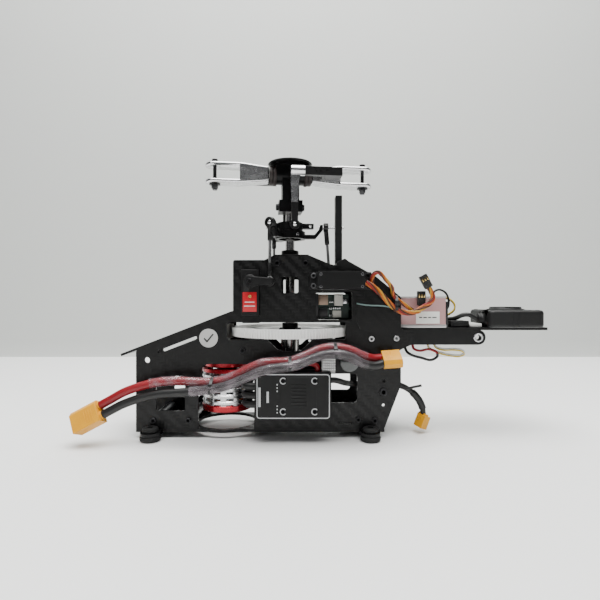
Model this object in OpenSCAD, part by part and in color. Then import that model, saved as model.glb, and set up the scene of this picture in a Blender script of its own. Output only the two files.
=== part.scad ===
// Remote control helicopter mechanics: two-blade head, swashplate, servos, side-plate frame,
// motor and electronics.
// X runs from the nose (-) to the tail (+), Y to the right-hand side, Z up. The origin is on the
// ground under the middle of the frame.

/* [Overall] */
// Main shaft axis to the nose end of the battery tray
front_reach = 87; // [84:1:110]
// Main shaft axis to the tail end of the GPS shelf
rear_reach = 137; // [136:1:170]
// Outside width over the two side plates
frame_w = 34; // [33:0.5:44]
// Thickness of the carbon side plates
plate_t = 1.5; // [1.2:0.1:1.8]
// Height of the top of the side plates
frame_top = 94; // [93:1:115]
// Height of the blade axis above the ground
head_h = 139.5; // [139:0.5:168]

/* [Main shaft and gear] */
// Diameter of the main shaft
shaft_d = 5; // [4:0.1:6]
// Outside diameter of a shaft bearing
bearing_d = 10; // [9:0.5:12]
// Width of a shaft bearing
bearing_w = 4; // [3:0.5:5]
// Gear module of the main gear and the pinion
gear_module = 0.5; // [0.4:0.05:0.6]
// Teeth on the main gear
gear_teeth = 126; // [105:1:130]
// Teeth on the motor pinion
pinion_teeth = 12; // [10:1:14]
// Thickness of the main gear
gear_t = 4.5; // [3.5:0.5:5.5]
// Height of the underside of the main gear
gear_z = 52; // [51:0.5:54]

/* [Motor] */
// Outside diameter of the turning motor bell
motor_d = 27; // [22:0.5:30]
// Height of the motor bell
motor_h = 23; // [18:0.5:25]
// Diameter of the motor shaft
motor_shaft_d = 3; // [2:0.1:3.5]

/* [Head and swashplate] */
// Shaft axis to a blade bolt
blade_bolt_r = 41; // [36:1:50]
// Thickness of the blade root that fits in a grip
blade_root_t = 7; // [6:0.5:7.5]
// Diameter of a blade bolt
blade_bolt_d = 2; // [1.6:0.1:3]
// Diameter of the feathering spindle
spindle_d = 3; // [2.5:0.1:3.5]
// Height of the swashplate link balls
swash_z = 111; // [110:0.5:114]
// Shaft axis to a lower link ball
swash_r = 19.8; // [19:0.2:23]
// Diameter of every link ball
ball_d = 3; // [2.5:0.1:3.6]
// How the rotor is turned when parked, in degrees
park_turn = 7; // [0:1:20]

/* [Servos and electronics] */
// Length of a servo case
servo_l = 23.5; // [21:0.5:25]
// Thickness of a servo case
servo_t = 9; // [8:0.2:9.4]
// Servo output axis to the ball on its horn
horn_r = 10; // [8:0.5:11]
// Length of the speed controller
esc_l = 37; // [30:1:42]
// Height of the speed controller
esc_h = 23; // [18:1:26]

/* [Feet and plugs] */
// Height of the bottom plate above the ground
foot_h = 3; // [2.5:0.5:5]
// Diameter of a rubber foot
foot_d = 10.5; // [9:0.5:12]
// Diameter of the fixing hole through a foot
foot_hole_d = 3; // [2.5:0.1:4]
// Width of the battery plug
plug_w = 11; // [9:0.5:13]

/* [Hidden] */
$fn = 48;

// clearances
run = 0.05;             // radial clearance of a turning or sliding fit
gap = 0.3;              // air between moving neighbours
collective = 2.5;       // swashplate travel each way
// side play that a rod's upper socket needs
swing_gap = horn_r - sqrt(horn_r * horn_r - collective * collective) + 0.05;

// frame heights
shaft_x = (front_reach - rear_reach) / 2;      // main shaft axis in the part's own frame
bottom_t = 1.5;
plate_z = foot_h + bottom_t;                   // lower edge of the side plates
half_w = frame_w / 2;
inner_w = half_w - plate_t;
slot_low = gear_z - 1.5;                       // gear slot through the side plates
slot_top = gear_z + gear_t + 3;
mount_t = 2;
mount_top = slot_low - 10.5;                   // top of the motor mount

// gear train
gear_r = gear_module * gear_teeth / 2;
pinion_r = gear_module * pinion_teeth / 2;
gear_tip = gear_r + 0.8 * gear_module;
motor_x = -(gear_r + pinion_r + 0.12);
slot_rear = sqrt(gear_tip * gear_tip - inner_w * inner_w) + 1.2;
slot_front = motor_x + 2.5;

// motor heights
base_t = 3;
base_top = mount_top - mount_t;
bell_top = base_top - base_t - gap;
bell_low = bell_top - motor_h;
motor_r = motor_d / 2;

// battery tray on the sloping nose edge
nose_x = -79;                                  // nose edge of the side plates
nose_z = 45;
deck_x = -29;                                  // front edge of the upper frame
deck_z = 64.3;
tray_t = 1.2;
slope = atan2(deck_z - nose_z, deck_x - nose_x);

// head
hub_half = 11.5;
grip_in = hub_half + gap;
fork_in = blade_bolt_r - 13.5;                 // bottom of the blade slot
fork_wall = 2;
fork_half = blade_root_t / 2 + fork_wall;
arm_y = 11.5;                                  // spindle axis to a drive arm's pin
arm_ball_x = 1.3;
pin_d = 2.2;
button_z = head_h + 7;
clamp_z = 119;                                 // underside of the hub's shaft clamp
ring_r = ball_d / 2 + 1.1;
ring_t = 2.6;
socket_r = ball_d / 2 + swing_gap;

// servos
servo_h = 18.5;
lug_t = 1.5;
lug_l = 4;
output_in = 6;                                 // case end to output axis
front_servo_x = -10 - horn_r;
front_servo_z = 80.5;
// share of a front pushrod's height at which it passes the top edge of its plate
rod_pass = min(0.6, (frame_top - 2.4 - front_servo_z) / (swash_z - front_servo_z));
rod_end_r = 1.3;
// how far a front servo's case stands out of its plate, so that the leaning rod clears the plate
case_out = max(2.5, (half_w + rod_end_r + 0.2 - swash_r * sin(60) * rod_pass) / (1 - rod_pass)
    - half_w + 0.2);
rear_servo_x = 22 + horn_r;
rear_servo_z = 80.8;
rear_ball_y = -1.9;
ball_out = half_w + case_out - 0.2;            // centre of a front horn's ball

// feet
feet_x = [-70, 41];
foot_y = half_w + 4.6;

// rear equipment
boom_z = 47;
boom_t = 8;
boom_end = 105;
boom_hole = [101, 51];
shelf_t = 1.4;
shelf_z = boom_z + boom_t;
box_z = shelf_z + shelf_t;
esc_y = [-half_w - 12.5, -half_w];
esc_x = -16.3;
esc_z = 12.6;

// outlines: each point is x, z, corner radius
function unit(v) = v / norm(v);
function corner(p, q, s, r, n) =
    let (a = unit([p.x - q.x, p.y - q.y]), b = unit([s.x - q.x, s.y - q.y]), h = acos(a * b) / 2,
         m = [q.x, q.y] + unit(a + b) * r / sin(h), f = [q.x, q.y] + a * r / tan(h) - m,
         g = [q.x, q.y] + b * r / tan(h) - m, a0 = atan2(f.y, f.x), d = atan2(g.y, g.x) - a0,
         turn = d > 180 ? d - 360 : d < -180 ? d + 360 : d)
    [for (i = [0:n]) m + r * [cos(a0 + turn * i / n), sin(a0 + turn * i / n)]];
function rounded(p, n = 5) =
    [for (i = [0:len(p) - 1]) each p[i].z == 0 ? [[p[i].x, p[i].y]]
        : corner(p[(i + len(p) - 1) % len(p)], p[i], p[(i + 1) % len(p)], p[i].z, n)];

// a slab cut from an X-Z outline, between two Y values
module slab(y0, y1) { translate([0, y1, 0]) rotate([90, 0, 0]) linear_extrude(y1 - y0) children(); }
module at_shaft() { translate([shaft_x, 0, 0]) children(); }
module parked() { at_shaft() rotate([0, 0, park_turn]) children(); }
module drill_y(x, z, r) { translate([x, 0, z]) rotate([90, 0, 0]) cylinder(r = r, h = 200,
    center = true); }
module block(x, y, z) { translate([x[0], y[0], z[0]]) cube([x[1] - x[0], y[1] - y[0], z[1] - z[0]]); }
module rod_y(x, y, z, r) { translate([x, y[1], z]) rotate([90, 0, 0]) cylinder(r = r,
    h = y[1] - y[0]); }
module rod_x(x, y, z, r) { translate([x[0], y, z]) rotate([0, 90, 0]) cylinder(r = r,
    h = x[1] - x[0]); }
module rod_z(x, y, z, r) { translate([x, y, z[0]]) cylinder(r = r, h = z[1] - z[0]); }

// a tube swept along a list of points
function tangent(p, i) = unit(p[min(i + 1, len(p) - 1)] - p[max(i - 1, 0)]);
function side_of(n, t) = unit(n - (n * t) * t);
function sides_along(p, n, i = 0) =
    i == len(p) ? [] : let (m = side_of(n, tangent(p, i))) concat([m], sides_along(p, m, i + 1));
module tube(p, d, sides = 8) {
    start = abs(tangent(p, 0).z) < 0.8 ? [0, 0, 1] : [0, 1, 0];
    m = sides_along(p, start);
    points = [for (i = [0:len(p) - 1], k = [0:sides - 1])
        let (t = tangent(p, i), a = 360 * k / sides) p[i] + d / 2 * (cos(a) * m[i] + sin(a) * cross(t,
            m[i]))];
    last = (len(p) - 1) * sides;
    faces = concat([[for (k = [0:sides - 1]) k]], [[for (k = [sides - 1:-1:0]) last + k]],
        [for (i = [0:len(p) - 2], k = [0:sides - 1])
            let (j = (k + 1) % sides, r = i * sides) [r + k, r + sides + k, r + sides + j, r + j]]);
    polyhedron(points, faces, convexity = 6);
}

// ---- rotor: everything that turns with the main shaft ----

module main_shaft() {
    color("silver") at_shaft() difference() {
        rod_z(0, 0, [bearing_tops[1] - 6, head_h - spindle_d / 2 - 1], shaft_d / 2);
        rotate([0, 0, park_turn]) rod_x([-10, 10], 0, clamp_z + 3.2, 1);
    }
}

module rotor_hub() {
    top = button_z - 1.6;
    color("#161616") parked() difference() {
        union() {
            rod_x([-hub_half, hub_half], 0, head_h, 4.9);
            block([-8, 8], [-4.9, 4.9], [head_h, top]);
            block([-4.6, 4.6], [-4.6, 4.6], [clamp_z + 5, head_h - 2]);
            block([-6.4, 6.4], [-5.2, 5.2], [clamp_z, clamp_z + 6.3]);
        }
        rod_z(0, 0, [clamp_z - 1, head_h - spindle_d / 2 - 1], shaft_d / 2);
        rod_x([-hub_half - 1, hub_half + 1], 0, head_h, spindle_d / 2);
        rod_x([-8, 8], 0, clamp_z + 3.2, 1);
        rod_z(0, 0, [head_h + 3.4, top + 1], 1.25);
    }
}

module head_button() {
    color("#1b1b1b") parked() union() {
        translate([0, 0, button_z - 1.6]) rotate_extrude()
            polygon([[0, 0], [10.6, 0], [12.2, 0.7], [12.2, 1.1], [9, 1.7], [0, 2]]);
        rod_z(0, 0, [head_h + 3.6, button_z - 1.6], 1.25);
    }
}

module feathering_spindle() {
    color("silver") parked() rod_x([-fork_in + 1.5, fork_in - 1.5], 0, head_h, spindle_d / 2);
}

module rotor_bolts() {
    color("#202020") union() {
        parked() {
            rod_x([-6.4, 6.4], 0, clamp_z + 3.2, 1);
            rod_x([-8, -6.4], 0, clamp_z + 3.2, 1.8);
            rod_x([6.4, 7.8], 0, clamp_z + 3.2, 1.8);
        }
        at_shaft() for (a = [45:90:315]) rotate([0, 0, a]) {
            rod_z(6.3, 0, [gear_z - 0.8, gear_z + 2.5], 0.8);
            rod_z(6.3, 0, [gear_z + 2.5, gear_z + 3.6], 1.5);
        }
    }
}

module shaft_collar() {
    color("#2a2a2a") at_shaft() difference() {
        rod_z(0, 0, [frame_top + 1.3, frame_top + 4.2], shaft_d / 2 + 2.3);
        rod_z(0, 0, [frame_top, frame_top + 5], shaft_d / 2);
    }
}

// a toothed wheel's outline: tip, mid and root are shares of a tooth's pitch on each side of its middle
function wheel(r, n, out, in, tip, mid, root) =
    [for (i = [0:n - 1]) each
        [for (c = [[r - in, -root], [r, -mid], [r + out, -tip], [r + out, tip], [r, mid],
            [r - in, root]])
            let (a = 360 / n * (i + c[1])) c[0] * [cos(a), sin(a)]]];

module main_gear() {
    rim = gear_r - 3.2;
    color("#f1f1ee") at_shaft() difference() {
        union() {
            translate([0, 0, gear_z]) linear_extrude(gear_t) difference() {
                // a tooth always points at the pinion, which meets it with a gap
                rotate(gear_teeth % 2 * 180 / gear_teeth)
                    polygon(wheel(gear_r, gear_teeth, 0.8 * gear_module, 1.2 * gear_module, 0.12,
                        0.21, 0.3));
                circle(r = rim, $fn = 96);
            }
            rod_z(0, 0, [gear_z + 1, gear_z + 2.5], rim);
        }
        rod_z(0, 0, [gear_z, gear_z + gear_t], shaft_d / 2 + 1.9);
        for (a = [45:90:315]) rotate([0, 0, a]) rod_z(6.3, 0, [gear_z, gear_z + gear_t], 0.8);
        for (a = [0:60:300]) rotate([0, 0, a]) rod_z(rim * 0.63, 0, [gear_z, gear_z + gear_t],
            rim * 0.2);
    }
}

module gear_hub() {
    color("#161616") at_shaft() difference() {
        union() {
            rod_z(0, 0, [gear_z - 0.8, gear_z + 6.4], shaft_d / 2 + 1.9);
            rod_z(0, 0, [gear_z - 0.8, gear_z + 1], 8.4);
        }
        rod_z(0, 0, [gear_z - 2, gear_z + 8], shaft_d / 2);
        for (a = [45:90:315]) rotate([0, 0, a]) rod_z(6.3, 0, [gear_z - 2, gear_z + 2], 0.8);
    }
}

module belt_pulley() {
    low = gear_z - 10.2;
    color("silver") at_shaft() difference() {
        union() {
            translate([0, 0, low]) linear_extrude(9.4) polygon(wheel(4.7, 16, 0.3, 0.4, 0.2, 0.24,
                0.28));
            rod_z(0, 0, [low, low + 0.8], 5.8);
            rod_z(0, 0, [low + 8.6, low + 9.4], 5.8);
        }
        rod_z(0, 0, [low - 1, low + 11], shaft_d / 2);
    }
}

// ---- swashplate ----

module link_ball(r) {
    translate([r, 0, swash_z]) sphere(r = ball_d / 2);
    rod_x([r - 3.6, r - 0.5], 0, swash_z, 0.8);
}

module swash_lower_ring() {
    low = swash_z - 6.5;
    color("#121212") at_shaft() difference() {
        union() {
            rod_z(0, 0, [low, low + 4], 8.4);
            for (a = [0, 120, 240]) rotate([0, 0, a]) {
                slab(-1.6, 1.6) polygon([[7.6, low + 0.2], [swash_r - 5.8, low + 0.2],
                    [swash_r - 1.7, swash_z - 1.4],
                    [swash_r - 1.7, swash_z + 1.3], [swash_r - 3.2, swash_z + 1.3],
                    [swash_r - 3.8, swash_z - 1.2],
                    [swash_r - 6.3, low + 2.4], [7.6, low + 2.4]]);
                link_ball(swash_r);
            }
            rod_x([swash_r, swash_r + 10], 0, swash_z, 0.6);
        }
        rod_z(0, 0, [low - 1, low + 5], 6.2);
    }
}

module swash_upper_ring() {
    low = swash_z - 2.2;
    color("#151515") parked() difference() {
        union() {
            rod_z(0, 0, [low, low + 4.6], 7);
            rod_z(0, 0, [low - 3, low + 0.2], 5.9);
            for (s = [-1, 1]) {
                difference() {
                    block(s > 0 ? [6, 13] : [-13, -6], [-1.7, 1.7], [low + 1.6, low + 4.4]);
                    drill_y(s * 11.2, low + 3, 0.8);
                }
                rod_y(s * -arm_ball_x, s < 0 ? [-arm_y, -5] : [5, arm_y], swash_z, 0.8);
                translate([s * -arm_ball_x, s * arm_y, swash_z]) sphere(r = ball_d / 2);
            }
        }
        translate([0, 0, swash_z - 1.5]) sphere(r = 4.7);
        rod_z(0, 0, [low - 4, low + 6], 4.2);
    }
}

module swash_uniball() {
    color("silver") at_shaft() difference() {
        intersection() {
            translate([0, 0, swash_z - 1.5]) sphere(r = 4.7);
            rod_z(0, 0, [swash_z - 5, swash_z + 2], 4.7);
        }
        rod_z(0, 0, [swash_z - 8, swash_z + 5], shaft_d / 2 + run);
    }
}

// ---- blade grips, drawn for the tail side; the nose side is turned half way round ----

module opposite(front) { parked() rotate([0, 0, front ? 180 : 0]) children(); }

module grip() {
    difference() {
        intersection() {
            slab(-5, 5) polygon(rounded([[grip_in, head_h - 3.9, 0],
                [fork_in - 1, head_h - fork_half, 2],
                [blade_bolt_r + 5, head_h - fork_half, 0], [blade_bolt_r + 5, head_h + fork_half, 0],
                [fork_in - 1, head_h + fork_half, 2], [grip_in, head_h + 3.9, 0]]));
            translate([0, 0, head_h - 8]) linear_extrude(16) union() {
                polygon([[grip_in, -4], [fork_in, -5], [blade_bolt_r, -5], [blade_bolt_r, 5],
                    [fork_in, 5], [grip_in, 4]]);
                translate([blade_bolt_r, 0]) circle(r = 5);
            }
        }
        block([fork_in, blade_bolt_r + 6], [-6, 6], [head_h - blade_root_t / 2,
            head_h + blade_root_t / 2]);
        rod_x([grip_in - 1, fork_in + 1], 0, head_h, spindle_d / 2 + run);
        rod_z(blade_bolt_r, 0, [head_h - 8, head_h + 8], blade_bolt_d / 2);
    }
}
module blade_grip_front() { color("#d8d8da") opposite(true) grip(); }
module blade_grip_rear() { color("#d8d8da") opposite(false) grip(); }

function grip_side(x) = -4 - (x - grip_in) / (fork_in - grip_in);
module grip_arm() {
    end = fork_in - 0.7;
    translate([0, 0, head_h - 2.4]) linear_extrude(4.6) polygon([[16.5, grip_side(16.5)],
        [end, grip_side(end)],
        [end, -arm_y - 1.6], [6.9, -arm_y - 1.6], [6.9, -arm_y + 1.6], [16.5, -arm_y + 1.6]]);
    rod_x([-0.7, 7.2], -arm_y, head_h, pin_d / 2);
}
module grip_arm_front() { color("#1a1a1a") opposite(true) grip_arm(); }
module grip_arm_rear() { color("#1a1a1a") opposite(false) grip_arm(); }

module blade_bolt() {
    low = head_h - fork_half;
    rod_z(blade_bolt_r, 0, [low - 1, head_h + fork_half + 0.5], blade_bolt_d / 2);
    rod_z(blade_bolt_r, 0, [head_h + fork_half, head_h + fork_half + 1.9], blade_bolt_d / 2 + 0.65);
    rod_z(blade_bolt_r, 0, [low - 0.6, low], 3);
    translate([blade_bolt_r, 0, low - 2.6]) cylinder(r = blade_bolt_d / 2 + 1, h = 2, $fn = 6);
}
module blade_bolt_front() { color("#303030") opposite(true) blade_bolt(); }
module blade_bolt_rear() { color("#303030") opposite(false) blade_bolt(); }

module drive_arm() {
    difference() {
        union() {
            rod_x([-0.7, 6.6], -arm_y, head_h, 2.8);
            slab(-arm_y - 1.3, -arm_y + 1.3) polygon([[-0.7, head_h], [4.6, head_h - 2],
                [3.4, head_h - 6],
                [2.9, 124], [-0.3, 124], [-0.7, head_h - 6]]);
            block([arm_ball_x - 1.7, arm_ball_x + 1.7], [-arm_y - 1.3, -arm_y + 1.3],
                [swash_z + 1.8, 124.5]);
            rod_y(arm_ball_x, [-arm_y - 1.3, -arm_y + 1.3], swash_z, ring_r);
        }
        rod_x([-2, 8], -arm_y, head_h, pin_d / 2 + run);
        rod_y(arm_ball_x, [-arm_y - 3, -arm_y + 3], swash_z, ball_d / 2 + 0.12);
    }
}
module drive_arm_front() { color("#c9c9cc") opposite(true) drive_arm(); }
module drive_arm_rear() { color("#c9c9cc") opposite(false) drive_arm(); }

// ---- servos, horns and pushrods ----

// a servo with its output axis along +Z at the origin and its case along +X
module servo_case() {
    difference() {
        union() {
            block([-output_in, servo_l - output_in], [-servo_t / 2, servo_t / 2], [-servo_h, 0]);
            block([-output_in - lug_l, servo_l - output_in + lug_l], [-servo_t / 2, servo_t / 2],
                [-case_out - plate_t - lug_t, -case_out - plate_t]);
            rod_z(0, 0, [0, 1.2], 3.4);
        }
        rod_z(0, 0, [-1.5, 3], 1.5 + run);
        for (x = [-output_in - lug_l / 2 + 0.2, servo_l - output_in + lug_l / 2 - 0.2])
            rod_z(x, 0, [-servo_h, 0], 0.7);
    }
}

// a horn over the same axis with its ball on the side given by side
module horn(side) {
    union() {
        rod_z(0, 0, [-1.2, 1.4], 1.5);
        translate([0, 0, 1.4]) linear_extrude(1.7) union() {
            circle(r = 2.8);
            translate([horn_r, 0]) circle(r = 1.7);
            polygon([[0, -2.6], [horn_r, -1.6], [horn_r, 1.6], [0, 2.6]]);
        }
        rod_z(horn_r, 0, side > 0 ? [2.8, 4.4 + 0.3] : [-0.1 - 0.3, 1.6], 0.8);
        translate([horn_r, 0, side > 0 ? 1.4 + 1.7 + 1.6 : 1.4 - 1.6]) sphere(r = ball_d / 2);
    }
}

// left front servo: case upright, output at its upper end, facing out
module left_servo_place(s) {
    at_shaft() translate([front_servo_x, s * (half_w + case_out), front_servo_z])
        rotate([s < 0 ? 90 : -90, 0, 0]) children();
}
module servo_left() { color("#101010") left_servo_place(-1) rotate([0, 0, -90]) servo_case(); }
module servo_right() { color("#101010") left_servo_place(1) rotate([0, 0, 90]) servo_case(); }
module servo_horn_left() { color("#181818") left_servo_place(-1) horn(-1); }
module servo_horn_right() { color("#181818") left_servo_place(1) horn(-1); }

// rear servo: lies along the frame with its output inside, facing the shaft plane
rear_face = rear_ball_y - 1.6 - 1.7 - 1.4;     // top of the rear servo's case
module servo_rear() {
    lug_y = [-half_w - lug_t, -half_w];
    color("#101010") at_shaft() difference() {
        union() {
            block([rear_servo_x + output_in - servo_l, rear_servo_x + output_in],
                [rear_face - servo_h, rear_face],
                [rear_servo_z - servo_t / 2, rear_servo_z + servo_t / 2]);
            block([rear_servo_x + output_in - servo_l - lug_l, rear_servo_x + output_in + lug_l], lug_y,
                [rear_servo_z - servo_t / 2, rear_servo_z + servo_t / 2]);
            rod_y(rear_servo_x, [rear_face, rear_face + 1.2], rear_servo_z, 3.4);
        }
        rod_y(rear_servo_x, [rear_face - 1.5, rear_face + 3], rear_servo_z, 1.5 + run);
    }
}
module servo_horn_rear() {
    color("#181818") at_shaft() translate([rear_servo_x, rear_face, rear_servo_z])
        rotate([-90, 0, 0]) rotate([0, 0, 180]) horn(1);
}

function swash_ball(a) = [swash_r * cos(a), swash_r * sin(a), swash_z];

// a rod between two ball sockets; each end's socket hole runs along its own stud
module pushrod(low, high, low_turn, high_turn, high_hole) {
    d = high - low;
    long = norm(d);
    lean = acos(d.z / long);
    way = atan2(d.y, d.x);
    difference() {
        union() {
            translate(low) rotate([0, lean, way]) {
                rod_z(0, 0, [2, long - 2], 0.8);
                rod_z(0, 0, [1.6, 9.5], rod_end_r);
                rod_z(0, 0, [long - 9.5, long - 1.6], rod_end_r);
            }
            translate(low) rotate([0, 0, low_turn]) rod_x([-ring_t / 2, ring_t / 2], 0, 0, ring_r);
            translate(high) rotate([0, 0, high_turn]) rod_x([-ring_t / 2, ring_t / 2], 0, 0,
                high_hole + 0.75);
        }
        translate(low) rotate([0, 0, low_turn]) rod_x([-4, 4], 0, 0, ball_d / 2 + 0.08);
        translate(high) rotate([0, 0, high_turn]) rod_x([-4, 4], 0, 0, high_hole);
    }
}
module pushrod_left() {
    color("#8a8a8a") at_shaft() pushrod([front_servo_x + horn_r, -ball_out, front_servo_z],
        swash_ball(240), 90, 240, socket_r);
}
module pushrod_right() {
    color("#8a8a8a") at_shaft() pushrod([front_servo_x + horn_r, ball_out, front_servo_z],
        swash_ball(120), 90, 120, socket_r);
}
module pushrod_rear() {
    color("#8a8a8a") at_shaft() pushrod([rear_servo_x - horn_r, rear_ball_y, rear_servo_z],
        swash_ball(0), 90, 0, ball_d / 2 + 0.12);
}

// ---- motor ----

module motor_bell() {
    color("silver") at_shaft() translate([motor_x, 0, 0]) union() {
        difference() {
            rod_z(0, 0, [bell_low, bell_top], motor_r);
            rod_z(0, 0, [bell_low + 2, bell_top + 1], motor_r - 1.8);
            for (a = [0:60:300]) rotate([0, 0, a]) rod_z(motor_r * 0.6, 0, [bell_low - 1,
                bell_low + 3], motor_r * 0.2);
            rod_z(0, 0, [bell_low - 1, bell_low + 3], motor_shaft_d / 2);
        }
        rod_z(0, 0, [bell_low, gear_z + gear_t + 1.8], motor_shaft_d / 2);
    }
}

module pinion() {
    color("#b9b9b4") at_shaft() translate([motor_x, 0, gear_z - 2]) difference() {
        linear_extrude(gear_t + 3.4) rotate(180 / pinion_teeth)
            polygon(wheel(pinion_r, pinion_teeth, 0.75 * gear_module, 1.15 * gear_module, 0.08, 0.2,
                0.27));
        translate([0, 0, -1]) cylinder(r = motor_shaft_d / 2, h = 20);
    }
}

module motor_base() {
    color("#a5101f") at_shaft() translate([motor_x, 0, 0]) difference() {
        union() {
            rod_z(0, 0, [base_top - base_t, base_top], motor_r - 1);
            rod_z(0, 0, [bell_low + 4, base_top], motor_r - 2.8);
        }
        rod_z(0, 0, [bell_low, base_top + 1], motor_shaft_d / 2 + run);
    }
}

module motor_mount() {
    color("#141414") at_shaft() difference() {
        block([motor_x - 14, motor_x + 14], [-inner_w, inner_w], [mount_top - mount_t, mount_top]);
        rod_z(motor_x, 0, [mount_top - 5, mount_top + 1], 4);
    }
}

// ---- frame ----

leg_x = 38;            // front edge of the rear leg
bay_front = motor_x - 12.3;
bay_rear = motor_x + 16.5;
bay_top = base_top;

module side_outline(slot_start = -67, tray_hole = true) {
    difference() {
        polygon(rounded([
            [nose_x, plate_z, 0], [nose_x, nose_z, 1], [deck_x, deck_z, 0],
                [deck_x, frame_top - 2.4, 1],
            [-12.8, frame_top - 2.4, 1], [-8.1, frame_top, 1], [10.3, frame_top, 1.5],
            [21, frame_top - 4.5, 1],
            [43, frame_top - 9.5, 2], [57.5, frame_top - 21.5, 1.5], [57.5, shelf_z + 1, 1],
            [64, shelf_z - 0.6, 1],
            [64, boom_z + 1.5, 2], [55.5, boom_z - 2.5, 2], [57.5, boom_z - 7, 1], [57.5, 27, 2],
            [48.8, plate_z, 0],
            [bay_rear, plate_z, 0], [bay_rear, bay_top, 3], [bay_front + 2, bay_top, 4],
            [bay_front, plate_z + 18, 2],
            [bay_front, plate_z, 0]]));
        // gear slot and the notch below it
        polygon(rounded([[slot_front, slot_low, 1], [-11.3, slot_low, 0.5], [-6.5, slot_low - 4.7, 1],
            [-3.5, slot_low - 5.9, 0], [3.5, slot_low - 6, 0], [6, slot_low - 5.7, 1],
            [12, slot_low, 0.5],
            [slot_rear, slot_low, 1], [slot_rear, slot_top, 1], [slot_front, slot_top, 1]]));
        // window beside the shaft
        polygon(rounded([[-4.3, 74.6, 0.8], [4.6, 74.6, 0.8], [4.6, 83, 0.8], [-4.3, 83, 0.8]]));
        // window over the receiver
        polygon(rounded([[13.7, 60.8, 0.8], [32.3, 60.8, 0.8], [32.3, 75.2, 0.8], [13.7, 75.2, 0.8]]));
        // lightening window of the nose
        polygon(rounded([[-68.7, 13.8, 1], [-53.7, 13.8, 1], [-53.7, 31, 2.2], [-58, 32, 2],
            [-68.7, 27.5, 2]]));
        // strap slot along the tray
        hull() for (x = [slot_start, -48.5]) translate([x, nose_z + (x - nose_x) * tan(slope) - 5.2])
            circle(r = 0.9, $fn = 16);
        // tray screw hole, spare holes
        if (tray_hole) translate([-73.3, 40]) circle(r = 1.5);
        translate([11.2, 47]) circle(r = 0.75);
        translate([25.5, 48.8]) circle(r = 0.8);
        for (h = [[48.7, 29.4, 1], [48.4, 23.6, 1.6], [48.5, 16.8, 0.8]]) translate([h.x, h.y])
            circle(r = h.z);
        // window behind the speed controller, and the slot low in the leg
        polygon(rounded([[16, 18, 2], [35, 18, 2], [35, 33, 2], [16, 33, 2]]));
        translate([25, 7]) square([7.5, 1]);
    }
}

module servo_opening() {
    z0 = front_servo_z + output_in - servo_l;
    translate([front_servo_x - servo_t / 2 - 0.1, z0 - 0.1]) square([servo_t + 0.2, servo_l + 0.2]);
}

screw_points = [[42.3, 51], [55.1, 51.2], [-24, 45], [-70, 9], [-52, 9], [44, 9], [35.5, 9.5],
    [8.3, frame_top - 4], [-6.3, frame_top - 4]];

module side_plate_left() {
    z0 = rear_servo_z - servo_t / 2;
    color("#151515") at_shaft() slab(-half_w, -inner_w) difference() {
        side_outline();
        servo_opening();
        translate([rear_servo_x + output_in - servo_l - 0.1, z0 - 0.1]) square([servo_l + 0.2,
            servo_t + 0.2]);
        for (p = screw_points) translate(p) circle(r = 0.9);
    }
}
module side_plate_right() {
    color("#151515") at_shaft() slab(inner_w, half_w) difference() {
        side_outline(slot_start = -74.6, tray_hole = false);
        servo_opening();
        for (p = screw_points) translate(p) circle(r = 0.9);
    }
}

module battery_tray() {
    long = (deck_x - 0.4 + front_reach) / cos(slope) - tray_t * tan(slope);
    color("#1d1d1d") at_shaft() translate([nose_x, 0, nose_z]) rotate([0, -slope, 0])
        translate([(-front_reach - nose_x) / cos(slope) + tray_t * tan(slope), 0, 0]) difference() {
            block([0, long], [-half_w, half_w], [0, tray_t]);
            for (x = [14, 34], y = [-6, 6]) block([x, x + 12], [y - 1.6, y + 1.6], [-1, 3]);
        }
}

module bottom_plate() {
    color("#121212") at_shaft() translate([0, 0, foot_h]) difference() {
        union() {
            block([nose_x, 49], [-half_w, half_w], [0, bottom_t]);
            rod_z(motor_x, 0, [0, bottom_t], motor_r + 5);
            for (x = feet_x, s = [-1, 1]) {
                block([x - 5, x + 5], s > 0 ? [half_w - 1, foot_y] : [-foot_y, 1 - half_w],
                    [0, bottom_t]);
                rod_z(x, s * foot_y, [0, bottom_t], 5);
            }
        }
        rod_z(motor_x, 0, [-1, bottom_t + 1], motor_r + 2.8);
        for (x = feet_x, s = [-1, 1]) rod_z(x, s * foot_y, [-1, bottom_t + 1], foot_hole_d / 2 + 1.1);
        block([-8, 26], [-9, 9], [-1, 3]);
    }
}

module frame_spacers() {
    color("#3a3a3a") at_shaft() union() {
        for (p = [[-70, 9], [-52, 9], [44, 9], [35.5, 9.5],
            [-24, 45]]) slab(-inner_w, inner_w) translate(p) difference() {
            circle(r = 2.4);
            circle(r = 0.9);
        }
    }
}

module frame_screws() {
    color("#b5b5b5") at_shaft() for (p = screw_points, s = [-1, 1]) {
        rod_y(p.x, s > 0 ? [half_w - 3.5, half_w] : [-half_w, 3.5 - half_w], p.y, 0.9);
        rod_y(p.x, s > 0 ? [half_w, half_w + 0.9] : [-half_w - 0.9, -half_w], p.y, 1.7);
    }
}

bearing_tops = [frame_top + 0.6, slot_low - 10.1];
module bearing_block(x, low, top) {
    difference() {
        block(x, [-inner_w, inner_w], [low, top]);
        rod_z(0, 0, [low - 1, top + 1], shaft_d / 2 + 0.6);
        rod_z(0, 0, [top - bearing_w, top + 1], bearing_d / 2);
        for (s = [-1, 1], p = screw_points) if (p.y > low && p.y < top)
            rod_y(p.x, s > 0 ? [half_w - 3.5, inner_w + 1] : [-inner_w - 1, 3.5 - half_w], p.y, 0.9);
    }
}
module bearing_blocks() {
    color("#101010") at_shaft() {
        bearing_block([-8, 10], bearing_tops[0] - 10, bearing_tops[0]);
        bearing_block([-7.5, 7.5], bearing_tops[1] - 7, bearing_tops[1]);
    }
}

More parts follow.
